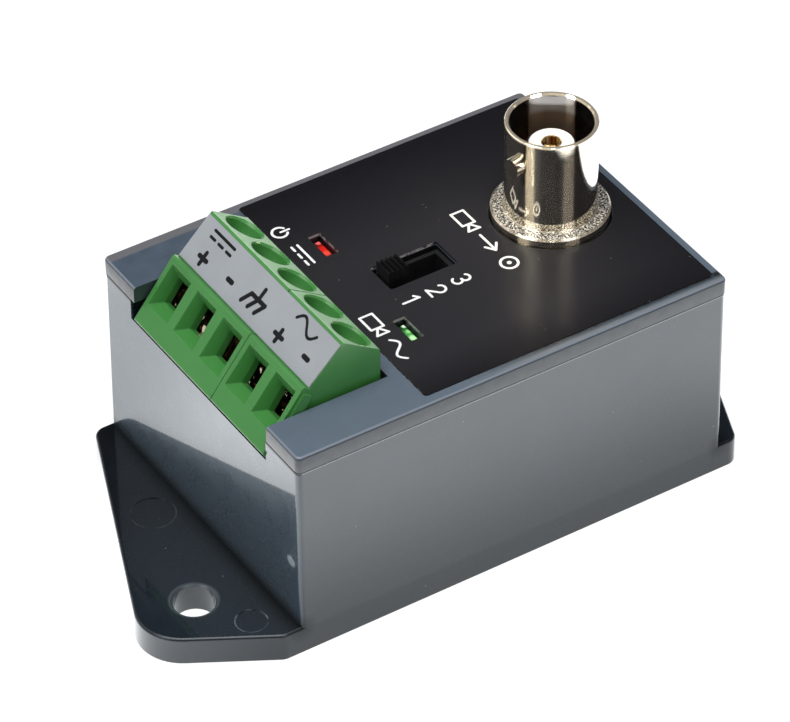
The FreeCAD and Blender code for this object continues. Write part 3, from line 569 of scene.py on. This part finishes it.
def lid_finish():
    """The same plastic from a lightly textured mould, glossier on its upright sides, with painted light
    and shade.
    """
    finish = Finish("lid_plastic", lid_plastic, 0.5, ior=1.55, coat=1.0, coat_roughness=0.2)
    finish.set("Specular Tint", cool_tint)
    place = finish.axes()
    # Painted sheen, paler towards the front
    front = finish.fall(place["Y"], *lid_front_y)
    colour = finish.mix(front, finish.mottle(0.5, 0.12), lid_front_painted_sheen)
    finish.gloss(0.8, 0.42, 0.56)
    finish.bump(finish.noise(2.2, 3.0), 0.010, 0.45)
    # Painted light on the far strip
    colour = finish.mix(finish.rise(place["Y"], *lid_far_y), colour, lid_far_painted_light)
    colour, beside_film_shade = add_film_border(finish, colour, place)
    colour = finish.dust(colour, 1.3, 0.08, 0.06, lid_dust)

    windows = window_mask(finish, place)
    upright = finish.inverse(finish.facing_up())
    inner = finish.product(windows, upright)
    rounded = finish.product(
        finish.facing_up(0.45, 0.65),
        finish.inverse(finish.facing_up(0.88, 0.98)),
        finish.inverse(windows))
    # Painted shade on the upright sides
    colour = finish.mix(upright, colour, lid_side_painted_shade)
    # Painted highlight on the rounded edges
    colour = finish.mix(rounded, colour, lid_edge_painted_highlight)
    # Painted shade on the window walls
    finish.feed("Base Color", finish.mix(inner, colour, window_wall_painted_shade))

    skin = finish.product(
        finish.spread(place["Z"], 0.9, 0.35, seam_height, lid_high.z - lid_skin_depth),
        finish.inverse(beside_film_shade),
        finish.inverse(inner))
    finish.feed("Coat Weight", skin)
    finish.feed("Coat Roughness", finish.spread(finish.facing_up(), 0.08, 0.3))
    return finish.material


# Film, in millimetres: its painted sheen fades to the far side, to the right and along the near edge
film_far_y = (4.0, 17.0)
film_right_x = (8.0, 24.0)
film_near_y = (film_low.y + 0.05, film_low.y + 5.05)
film_rim = (0.3, 0.8)
film_edge_x = (3.6, 3.9)

# Film colours
film_dark = (0.0095, 0.0092, 0.0118)
# Painted sheen on the film
film_painted_sheen = (0.0242, 0.0240, 0.0285)
film_dust = (0.2, 0.2, 0.2)
film_edge_dark = (0.02, 0.019, 0.019)
# Painted highlight on the cut edges of the film
film_edge_painted_highlight = (0.42, 0.38, 0.37)


def film_finish():
    """Black printed film: glossy, with a painted sheen, and a painted highlight on the cut edge of its
    clear layer.
    """
    finish = Finish("printed_film", (0.0135, 0.0135, 0.0155), 0.2, specular=0.2)
    place = finish.axes()
    # Painted sheen over the film
    sheen_amount = finish.product(
        finish.fall(place["Y"], *film_far_y),
        finish.spread(place["X"], 1.0, 0.3, *film_right_x),
        finish.spread(place["Y"], 0.2, 1.0, *film_near_y))
    tone = finish.ramp(sheen_amount, film_dark, film_painted_sheen, 0.0, 1.0)
    finish.gloss(0.06, 0.19, 0.25)
    finish.bump(finish.noise(1.2, 2.0), 0.003, 0.25)
    dusted = finish.dust(tone, 1.6, 0.12, 0.05, film_dust)
    # Painted highlight on the cut edges, weaker near the near edge and to the right
    edge_highlight = finish.product(
        finish.spread(finish.noise(1.6, 2.0), 0.25, 1.0, 0.42, 0.56),
        finish.spread(place["Y"], 0.25, 1.0, *(film_low.y + inset for inset in film_rim)),
        finish.spread(place["X"], 1.0, 0.05, *film_edge_x))
    edge = finish.ramp(edge_highlight, film_edge_dark, film_edge_painted_highlight, 0.2, 0.9)
    finish.feed("Base Color", finish.mix(finish.facing_up(0.2, 0.6), edge, dusted))
    return finish.material


def terminal_finish():
    finish = Finish(
        "terminal_green", (0.053, 0.238, 0.053), 0.36, ior=1.52, coat=0.45, coat_roughness=0.14)
    finish.mottle(0.15, 0.07)
    finish.gloss(0.5, 0.28, 0.42)
    finish.soften(0.16)
    finish.bump(finish.noise(4.0, 2.0), 0.008, 0.4)
    finish.set("Subsurface Weight", 0.12)
    finish.set("Subsurface Scale", 0.5 * MM)
    finish.set("Subsurface Radius", (0.3, 1.0, 0.3))
    return finish.material


def label_finish():
    finish = Finish("grey_label", (0.32, 0.345, 0.38), 0.42, coat=0.15, coat_roughness=0.3)
    finish.mottle(0.3, 0.04)
    finish.gloss(0.6, 0.36, 0.5)
    finish.bump(finish.noise(2.5, 3.0), 0.006, 0.4)
    return finish.material


# Jack, in millimetres: its height above the flange, and bands below its mouth
jack_rise = 10.77
flange_fade = (0.3, 0.6)
bore_radius = (4.42, 4.5)
mouth_band = (2.4, 1.9)
rim_band = (0.26, 0.2)

# Jack colours and the shares of its two extra ways of reflecting
nickel_plain = (0.66, 0.60, 0.51)
nickel_dark = (0.60, 0.54, 0.44)
nickel_pale = (0.78, 0.72, 0.60)
speckle_dark = (0.02, 0.02, 0.02)
speckle_pale = (1.0, 1.0, 0.99)
# Painted shade deep in the bore and painted light near its mouth
bore_painted_shade = (0.24, 0.185, 0.14)
bore_painted_light = (0.34, 0.34, 0.35)
# Painted highlight on the rim of the mouth
rim_painted_highlight = (0.8, 0.75, 0.66)
brushed_share = 0.045
flange_matt_share = 0.36
rim_matt_share = 0.13


def nickel_finish():
    """Plated barrel: mostly a mirror, with turning marks that draw the lamps out along its axis."""
    finish = Finish("jack_nickel", nickel_plain, 0.1, metallic=1.0)
    tone = finish.noise(0.35, 3.0, stretch=(1, 1, 0.12))
    colour = finish.ramp(tone, nickel_dark, nickel_pale)
    place = finish.axes()
    flange_top = cad_high.z / MM - jack_rise
    flat = finish.product(
        finish.facing_up(),
        finish.fall(place["Z"], *(flange_top + height for height in flange_fade)))
    speckle = finish.ramp(finish.noise(4.6, 4.0, 0.75), speckle_dark, speckle_pale, 0.47, 0.6)
    colour = finish.mix(flat, colour, speckle)
    centre = node_centre("jack_shell") / MM
    within = finish.fall(finish.distance(centre, (1, 1, 0)), *bore_radius)
    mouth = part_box("jack_shell")[1].z / MM
    # Painted shade in the bore, turning to painted light near the mouth
    near_mouth = finish.rise(place["Z"], *(mouth - depth for depth in mouth_band))
    colour = finish.mix(within, colour, finish.ramp(near_mouth, bore_painted_shade, bore_painted_light, 0.0, 1.0))
    # Painted highlight on the rim, helped by a matt share
    rim = finish.rise(place["Z"], *(mouth - depth for depth in rim_band))
    colour = finish.mix(rim, colour, rim_painted_highlight)
    matt = total(
        finish.tree, finish.product(flat, flange_matt_share), finish.product(rim, rim_matt_share))
    finish.feed("Metallic", finish.inverse(matt))
    finish.feed("Base Color", colour)
    finish.feed("Roughness", total(
        finish.tree,
        finish.spread(finish.noise(0.8), 0.03, 0.075, 0.3, 0.7),
        finish.spread(flat, 0.0, 0.03)))
    finish.bump(finish.noise(1.4, 2.0), 0.012, 0.35)
    finish.bump(finish.noise(7.0, 3.0, 0.6), 0.006, 0.5)
    finish.bump(finish.product(finish.noise(4.5, 4.0, 0.7), flat), 0.015, 0.8)

    brushed = finish.node("ShaderNodeBsdfAnisotropic")
    brushed.inputs["Roughness"].default_value = 0.34
    brushed.inputs["Anisotropy"].default_value = 0.9
    around = finish.node("ShaderNodeTangent", direction_type="RADIAL", axis="Z")
    finish.link(around.outputs["Tangent"], brushed.inputs["Tangent"])
    finish.link(colour, brushed.inputs["Color"])
    finish.link(finish.shader.inputs["Normal"].links[0].from_socket, brushed.inputs["Normal"])
    both = mixed_shader(
        finish.tree, finish.spread(flat, brushed_share, 0.0),
        finish.shader.outputs["BSDF"], brushed.outputs["BSDF"])
    finish.link(both, finish.tree.nodes["Material Output"].inputs["Surface"])
    return finish.material


def metal_finish(name, colour, roughness):
    finish = Finish(name, colour, roughness, metallic=1.0)
    finish.mottle(2.0, 0.12)
    finish.gloss(2.0, roughness * 0.75, roughness * 1.3)
    finish.bump(finish.noise(8.0, 3.0), 0.01, 0.5)
    return finish.material


def clamp_finish():
    """Bent brass strip whose edges show painted glints: small bright areas that glow."""
    finish = Finish("clamp_brass", (0.13, 0.09, 0.05), 0.2, metallic=1.0)
    finish.mottle(2.0, 0.12)
    finish.bump(finish.noise(8.0, 3.0), 0.01, 0.5)
    # Painted glints that glow
    patches = finish.noise(2.0, 3.0, 0.5, (1, 1, 0.4))
    finish.feed("Emission Color", finish.ramp(patches, black, (0.72, 0.62, 0.46), 0.63, 0.67))
    finish.set("Emission Strength", 0.8)
    return finish.material


def soft_plastic(name, colour, roughness, scale=0.8, amount=0.1, **extra):
    finish = Finish(name, colour, roughness, **extra)
    finish.mottle(scale, amount)
    finish.gloss(scale, roughness * 0.85, min(1.0, roughness * 1.15))
    finish.bump(finish.noise(scale * 6, 2.0), 0.01, 0.5)
    return finish.material


def ink_finish(name, colour, roughness, amount, **extra):
    finish = Finish(name, colour, roughness, **extra)
    finish.mottle(1.5, amount)
    finish.bump(finish.noise(6.0, 2.0), 0.004, 0.4)
    return finish.material


# Painted highlights in the lenses, which glow: offset from the centre and radius in millimetres, and
# colour
red_painted_highlights = (
    ((0.25, 0.1), 1.0, (0.55, 0.012, 0.008)),
    ((0.05, -0.6), 0.6, (0.75, 0.06, 0.04)),
    ((0.2, 1.3), 0.4, (0.8, 0.12, 0.12)))
green_painted_highlights = (
    ((0.3, 0.0), 1.15, (0.05, 0.26, 0.05)),
    ((0.15, -0.75), 0.62, (0.45, 0.85, 0.4)),
    ((0.3, 0.35), 0.42, (0.25, 0.62, 0.22)),
    ((0.35, 1.3), 0.36, (0.7, 1.0, 0.7)))


def lens_finish(name, node_name, dark, body, patches):
    """Clear tinted lens: painted shade at its edge, with painted highlights that glow."""
    finish = Finish(name, body, 0.12, coat=0.6)
    centre = node_centre(node_name) / MM
    colour = dark
    for (x, y), radius, tint in patches:
        apart = finish.distance((centre.x + x, centre.y + y, 0), (1, 1, 0))
        colour = finish.mix(finish.fall(apart, radius * 0.35, radius), colour, tint)
    finish.feed("Base Color", colour)
    # The whole lens glows with its painted highlights and shade
    finish.feed("Emission Color", colour)
    finish.set("Emission Strength", 0.35)
    finish.bump(finish.noise(5.0, 2.0), 0.01, 0.5)
    return finish.material


def dress(names, material):
    for name in names:
        mesh = nodes[name].data
        mesh.materials.clear()
        mesh.materials.append(material)


def numbered(stem, count):
    return ["%s_%d" % (stem, index) for index in range(1, count + 1)]


def node_centre(name):
    low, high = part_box(name)
    return (low + high) / 2


def dress_nodes():
    dress(["housing"], case_finish())
    dress(["lid"], lid_finish())
    dress(["lid_film"], film_finish())
    dress(["terminal_block_3way", "terminal_block_2way"], terminal_finish())
    dress(["terminal_label"], label_finish())
    dress(["circuit_board"],
          soft_plastic("board_mask", (0.02, 0.14, 0.06), 0.35, scale=0.4, coat=0.5))
    dress(["board_screws"], metal_finish("zinc_steel", (0.62, 0.62, 0.6), 0.3))
    dress(numbered("clamp_screw", 5), metal_finish("screw_steel", (0.3, 0.29, 0.27), 0.4))
    dress(["switch_body"], soft_plastic("switch_case", (0.010, 0.0105, 0.012), 0.4))
    dress(["switch_base"], soft_plastic("switch_wafer", (0.05, 0.035, 0.02), 0.6))
    dress(["switch_knob"], soft_plastic("knob_black", (0.004, 0.004, 0.0045), 0.3, coat=0.2))
    dress(["switch_contact"] + numbered("switch_pin", 4),
          metal_finish("silvered_brass", (0.75, 0.68, 0.5), 0.25))
    dress(numbered("wire_clamp", 5), clamp_finish())
    dress(numbered("terminal_pin", 5), metal_finish("tinned_brass", (0.7, 0.66, 0.56), 0.25))
    dress(["jack_shell"], nickel_finish())
    dress(["jack_insulator"],
          soft_plastic("white_insulator", (0.93, 0.93, 0.92), 0.35, amount=0.02))
    dress(["jack_contact"], metal_finish("gold_plate", (0.85, 0.56, 0.24), 0.2))
    dress(["driver_chip", "voltage_regulator", "surge_diode"],
          soft_plastic("chip_moulding", (0.03, 0.03, 0.032), 0.55))
    dress(["line_choke"], soft_plastic("ferrite", (0.06, 0.055, 0.05), 0.6))
    dress(numbered("resistor", 4), soft_plastic("resistor_glaze", (0.03, 0.03, 0.035), 0.3))
    dress(numbered("capacitor", 2), metal_finish("capacitor_can", (0.75, 0.76, 0.77), 0.3))
    dress(["power_led"], lens_finish(
        "red_lens", "power_led", (0.03, 0.002, 0.002), (0.5, 0.02, 0.02), red_painted_highlights))
    dress(["video_led"], lens_finish(
        "green_lens", "video_led", (0.002, 0.035, 0.005), (0.2, 0.6, 0.2), green_painted_highlights))


class Surface:
    """A flat printed place: origin at the start of a line, right along the reading direction."""

    def __init__(self, origin, right, up):
        self.origin = Vector(origin)
        self.right = Vector(right).normalized()
        self.up = Vector(up).normalized()
        self.out = self.right.cross(self.up)

    def point(self, across, rise, lift=0.0):
        return self.origin + self.right * across + self.up * rise + self.out * lift


def side_steps(points):
    """Unit side vectors of a line of points, longer at bends so that the stroke keeps its width."""
    steps = []
    last = len(points) - 1
    for index, point in enumerate(points):
        before = Vector(points[max(index - 1, 0)])
        after = Vector(points[min(index + 1, last)])
        along = (after - before).normalized()
        side = Vector((-along.y, along.x))
        if 0 < index < last:
            first = (Vector(point) - before).normalized()
            side = side / max(bend_limit, abs(side.dot(Vector((-first.y, first.x)))))
        steps.append(side)
    return steps


def cap_ring(centre, side):
    """Half circle of points from one edge of a stroke round its end to the other."""
    ring = []
    for index in range(1, cap_segments):
        angle = -math.pi * index / cap_segments
        cosine, sine = math.cos(angle), math.sin(angle)
        ring.append(centre + Vector((
            side.x * cosine - side.y * sine, side.x * sine + side.y * cosine)))
    return ring


def arc_points(centre, radius, start, end):
    turns = [start + (end - start) * index / arc_segments for index in range(arc_segments + 1)]
    angles = [math.radians(turn) for turn in turns]
    return [(centre[0] + radius * math.cos(a), centre[1] + radius * math.sin(a)) for a in angles]


def ring_strokes(centre, radius):
    return [arc_points(centre, radius, 0, 180), arc_points(centre, radius, 180, 360)]


def add_stroke(mesh, surface, points, width, lift):
    """Thin printed pen stroke with round ends, laid on a surface as strips."""
    steps = [step * (width / 2) for step in side_steps(points)]
    left = [Vector(point) + step for point, step in zip(points, steps)]
    right = [Vector(point) - step for point, step in zip(points, steps)]
    ends = (
        (Vector(points[-1]), cap_ring(Vector(points[-1]), steps[-1])),
        (Vector(points[0]), cap_ring(Vector(points[0]), -steps[0])))
    outline = left + ends[0][1] + list(reversed(right)) + ends[1][1]
    low = [mesh.verts.new(surface.point(p.x, p.y)) for p in outline]
    high = [mesh.verts.new(surface.point(p.x, p.y, lift)) for p in outline]
    count = len(points)
    for ring, flip in ((high, 1), (low, -1)):
        right_side = ring[count + cap_segments - 1:2 * count + cap_segments - 1][::-1]
        for index in range(count - 1):
            mesh.faces.new((
                ring[index], right_side[index], right_side[index + 1], ring[index + 1])[::flip])
        mesh.faces.new(ring[count - 1:count + cap_segments][::-flip])
        mesh.faces.new((ring[2 * count + cap_segments - 2:] + ring[:1])[::-flip])
    for index in range(len(outline)):
        after = (index + 1) % len(outline)
        mesh.faces.new((low[index], low[after], high[after], high[index]))


def add_piece(name, mesh, material):
    bmesh.ops.triangulate(mesh, faces=[face for face in mesh.faces if len(face.verts) > 4])
    bmesh.ops.recalc_face_normals(mesh, faces=mesh.faces)
    data = bpy.data.meshes.new(name)
    mesh.to_mesh(data)
    mesh.free()
    data.materials.append(material)
    piece = bpy.data.objects.new(name, data)
    bpy.context.scene.collection.objects.link(piece)
    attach(piece, BASE_BODY)


def add_print(name, surface, strokes, width, material):
    """One printed mark, each stroke a little higher than the last so that no two tops coincide."""
    mesh = bmesh.new()
    for index, points in enumerate(strokes):
        add_stroke(mesh, surface, points, width, print_thickness * (1 + print_step * index))
    add_piece(name, mesh, material)


def scaled(strokes, size):
    return [[(x * size, y * size) for x, y in points] for points in strokes]


def power_mark():
    """Broken ring with a bar, one unit high."""
    return [arc_points((0.5, 0.44), 0.42, 120, 420), [(0.5, 0.5), (0.5, 1.0)]]


def direct_current_mark():
    """Solid line over three dashes."""
    return [[(0, 0.66), (1.7, 0.66)]] + [[(x, 0.3), (x + 0.36, 0.3)] for x in (0.0, 0.67, 1.34)]


def wave_mark():
    """One period of a sine wave."""
    shares = [index / wave_segments for index in range(wave_segments + 1)]
    return [[(share * 1.7, 0.5 + 0.32 * math.sin(2 * math.pi * share)) for share in shares]]


def camera_mark():
    """Outline of a video camera: a body and a lens horn."""
    body = [(0.0, 0.12), (0.0, 0.88), (1.15, 0.88), (1.15, 0.12), (0.0, 0.12)]
    horn = [(1.15, 0.5), (1.7, 0.85), (1.7, 0.15), (1.15, 0.5)]
    return [segment for line in (body, horn) for segment in zip(line, line[1:])]


def arrow_mark():
    return [[(0.0, 0.5), (1.5, 0.5)], [(1.0, 0.85), (1.5, 0.5)], [(1.0, 0.15), (1.5, 0.5)]]


def socket_mark():
    """Two rings, as a coaxial socket is drawn."""
    return ring_strokes((0.5, 0.5), 0.47) + ring_strokes((0.5, 0.5), 0.06)


def figure_mark(figure):
    """Plain figures 1, 2 and 3 in strokes, one unit high."""
    if figure == 1:
        return [[(0.12, 0.78), (0.38, 1.0)], [(0.38, 1.0), (0.38, 0.0)]]
    if figure == 2:
        bowl = arc_points((0.34, 0.7), 0.29, 165, -35)
        return [bowl + [(0.04, 0.0)], [(0.04, 0.0), (0.66, 0.0)]]
    return [arc_points((0.3, 0.74), 0.25, 150, -90), arc_points((0.3, 0.25), 0.27, 90, -150)]


def plus_mark():
    return [[(0.0, 0.5), (1.0, 0.5)], [(0.5, 0.0), (0.5, 1.0)]]


def minus_mark():
    return [[(0.0, 0.5), (0.6, 0.5)]]


def ground_mark():
    """Chassis ground: a stem on a bar with three slanted legs."""
    legs = [[(x, 0.5), (x - 0.28, 0.0)] for x in (0.28, 0.78, 1.28)]
    return [[(0.78, 1.0), (0.78, 0.5)], [(0.28, 0.5), (1.28, 0.5)]] + legs


def film_surface(x, y):
    """Reading direction runs towards -Y and the tops of the marks point to +X."""
    return Surface((x * MM, y * MM, film_top), (0, -1, 0), (1, 0, 0))


def row(*marks):
    """Marks set one after another: (mark, shift) pairs, one unit high."""
    return [[(x + shift, y) for x, y in points] for mark, shift in marks for points in mark]


def add_film_print():
    """Marks on the film: name, place of the low left corner in millimetres, and strokes."""
    ink = ink_finish("white_ink", (0.86, 0.87, 0.9), 0.4, 0.05)
    letter = 1.95 * MM
    marks = (
        ("print_power", -9.35, 13.2, row((power_mark(), 0.0), (direct_current_mark(), 1.9))),
        ("print_signal", -9.3, -3.9, row((camera_mark(), 0.0), (wave_mark(), 2.3))),
        ("print_input", 7.5, 5.1,
         row((camera_mark(), 0.0), (arrow_mark(), 2.25), (socket_mark(), 4.5))),
        ("print_step_1", -4.1, -3.6, figure_mark(1)),
        ("print_step_2", -1.05, -3.7, figure_mark(2)),
        ("print_step_3", 2.0, -3.6, figure_mark(3)),
    )
    for name, x, y, strokes in marks:
        add_print(
            name, film_surface(x, y), scaled(strokes, letter), film_stroke, ink)


# Slope of the label on the terminal strip
label_slope = math.radians(44.6)


def label_surface(rise, y):
    """Top face of the sloped label, from its low edge and its highest vertex along the normal."""
    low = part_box("terminal_label")[0]
    slope = Vector((math.cos(label_slope), 0, math.sin(label_slope)))
    out = Vector((-math.sin(label_slope), 0, math.cos(label_slope)))
    corners = (vertex.co for vertex in nodes["terminal_label"].data.vertices)
    top_corner = max(corners, key=lambda corner: corner.dot(out))
    start = Vector((low.x, 0, low.z))
    origin = start + out * (top_corner.dot(out) - start.dot(out)) + slope * (rise * MM)
    return Surface((origin.x, y * MM, origin.z), (0, -1, 0), slope)


def add_label_print():
    """Marks on the label: name, rise up its slope and place along Y in millimetres, strokes, height
    in millimetres and width of the stroke."""
    ink = ink_finish("black_ink", (0.004, 0.0045, 0.006), 0.5, 0.2, specular=0.25)
    marks = (
        ("label_plus_1", 0.85, 9.95, plus_mark(), 1.35, label_stroke * 1.2),
        ("label_minus_1", 1.25, 4.85, minus_mark(), 1.3, label_stroke * 1.3),
        ("label_ground", 1.35, 1.75, ground_mark(), 2.5, label_stroke * 1.15),
        ("label_plus_2", 0.85, -4.55, plus_mark(), 1.35, label_stroke * 1.2),
        ("label_minus_2", 1.25, -9.5, minus_mark(), 1.3, label_stroke * 1.3),
        ("label_supply", 3.05, 10.2, direct_current_mark(), 2.2, label_stroke * 0.78),
        ("label_signal", 3.05, -5.7, wave_mark(), 2.2, label_stroke * 0.78),
    )
    for name, rise, y, strokes, size, width in marks:
        add_print(
            name, label_surface(rise, y), scaled(strokes, size * MM), width, ink)


def mirrored_glow(tree):
    """Brightness of the floor in a reflection: darker beside the box and far away, with two patches."""
    place = tree.nodes.new("ShaderNodeTexCoord").outputs["Object"]
    lid_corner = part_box("lid")[1]
    outward = vector_math(tree, "ABSOLUTE", place)["Vector"]
    beyond = vector_math(tree, "SUBTRACT", outward, (lid_corner.x, lid_corner.y, 0))["Vector"]
    outside = vector_math(tree, "MAXIMUM", beyond, (0, 0, 0))["Vector"]
    distance = vector_math(tree, "LENGTH", outside)["Value"]
    glow = soft_step(
        tree, distance, 0.0, mirror_floor_reach, mirror_floor_near, mirror_floor_far)
    fade_start, fade_end, fade = mirror_floor_fade
    glow = total(tree, glow, soft_step(tree, distance, fade_start, fade_end, 0.0, -fade))
    for (x, y), radius, strength in mirror_floor_patches:
        apart = vector_math(tree, "DISTANCE", place, (x * MM, y * MM, 0))["Value"]
        glow = total(tree, glow, soft_step(tree, apart, 0.0, radius * MM, strength, 0.0))
    return glow


def glowing_paper(tree, share, glow):
    """Diffuse paper that also glows, so that it reads as white and still takes a shadow."""
    paper = tree.nodes.new("ShaderNodeBsdfDiffuse")
    paper.inputs["Color"].default_value = (share, share, share, 1)
    light = tree.nodes.new("ShaderNodeEmission")
    if isinstance(glow, float):
        light.inputs["Strength"].default_value = glow
    else:
        tree.links.new(glow, light.inputs["Strength"])
    both = tree.nodes.new("ShaderNodeAddShader")
    tree.links.new(paper.outputs["BSDF"], both.inputs[0])
    tree.links.new(light.outputs["Emission"], both.inputs[1])
    return both.outputs["Shader"]


def add_floor():
    material = bpy.data.materials.new("floor_white")
    material.use_nodes = True
    tree = material.node_tree
    tree.nodes.clear()
    plain = tree.nodes.new("ShaderNodeBsdfDiffuse")
    plain.inputs["Color"].default_value = (floor_albedo, floor_albedo, floor_albedo, 1)
    mirrored = glowing_paper(tree, mirror_floor_share, mirrored_glow(tree))
    seen = glowing_paper(tree, floor_shadow_share, floor_glow)
    shader = mixed_shader(tree, ray_mask(tree, ("Is Glossy Ray",)), plain.outputs["BSDF"], mirrored)
    shader = mixed_shader(
        tree, ray_mask(tree, ("Is Camera Ray", "Is Transmission Ray")), shader, seen)
    output = tree.nodes.new("ShaderNodeOutputMaterial")
    tree.links.new(shader, output.inputs["Surface"])
    mesh = bpy.data.meshes.new("floor")
    half = floor_size / 2
    corners = [(sx * half, sy * half, 0) for sx, sy in ((-1, -1), (1, -1), (1, 1), (-1, 1))]
    mesh.from_pydata(corners, [], [(0, 1, 2, 3)])
    mesh.materials.append(material)
    floor = bpy.data.objects.new("floor", mesh)
    bpy.context.scene.collection.objects.link(floor)


def add_world():
    world = bpy.data.worlds.new("studio")
    world.use_nodes = True
    bpy.context.scene.world = world
    tree = world.node_tree
    diffuse_sky = tree.nodes["Background"]
    diffuse_sky.inputs["Color"].default_value = (*world_colour, 1)
    diffuse_sky.inputs["Strength"].default_value = world_level
    mirror_sky = tree.nodes.new("ShaderNodeBackground")
    direction = tree.nodes.new("ShaderNodeTexCoord").outputs["Generated"]
    level = None
    for centre, half_angle, strength in mirror_sky_cards:
        facing = vector_math(tree, "DOT_PRODUCT", direction, Vector(centre).normalized())["Value"]
        outer, inner = (math.cos(math.radians(angle)) for angle in (half_angle, half_angle / 3))
        level = total(tree, level, soft_step(tree, facing, outer, inner, 0.0, strength))
    tree.links.new(total(tree, level, mirror_sky_level), mirror_sky.inputs["Strength"])
    white = tree.nodes.new("ShaderNodeBackground")
    white.inputs["Color"].default_value = (1, 1, 1, 1)
    white.inputs["Strength"].default_value = 1.0
    shader = mixed_shader(
        tree, ray_mask(tree, ("Is Glossy Ray",)),
        diffuse_sky.outputs["Background"], mirror_sky.outputs["Background"])
    shader = mixed_shader(
        tree, ray_mask(tree, ("Is Camera Ray", "Is Transmission Ray")),
        shader, white.outputs["Background"])
    tree.links.new(shader, tree.nodes["World Output"].inputs["Surface"])


def add_lamp(name, azimuth, elevation, power, size, colour):
    """Soft box aimed at the object."""
    around, above = math.radians(azimuth), math.radians(elevation)
    back = Vector((
        math.sin(around) * math.cos(above), -math.cos(around) * math.cos(above), math.sin(above)))
    data = bpy.data.lights.new(name, "AREA")
    data.shape = "RECTANGLE"
    data.size, data.size_y = size
    data.energy = power
    data.color = colour
    lamp = bpy.data.objects.new(name, data)
    lamp.location = back * lamp_distance
    lamp.rotation_mode = "QUATERNION"
    lamp.rotation_quaternion = (-back).to_track_quat("-Z", "Y")
    bpy.context.scene.collection.objects.link(lamp)
    return lamp


def light_only(collection_name, node_names, lit_by):
    """Let the lamps light only the named nodes."""
    lit = bpy.data.collections.new(collection_name)
    for name in node_names:
        lit.objects.link(nodes[name])
    for lamp in lit_by:
        lamp.light_linking.receiver_collection = lit


def add_lamps():
    made = {name: add_lamp(name, *values) for name, values in lamps.items()}
    light_only("jack_light", ("jack_shell",), [made[name] for name in jack_lamps])
    light_only("strip_light", ("terminal_block_3way", "terminal_block_2way"), [made[strip_lamp]])


bpy.context.scene.view_settings.view_transform = "Standard"
add_camera()
dress_nodes()
add_film_print()
add_label_print()
add_floor()
add_world()
add_lamps()
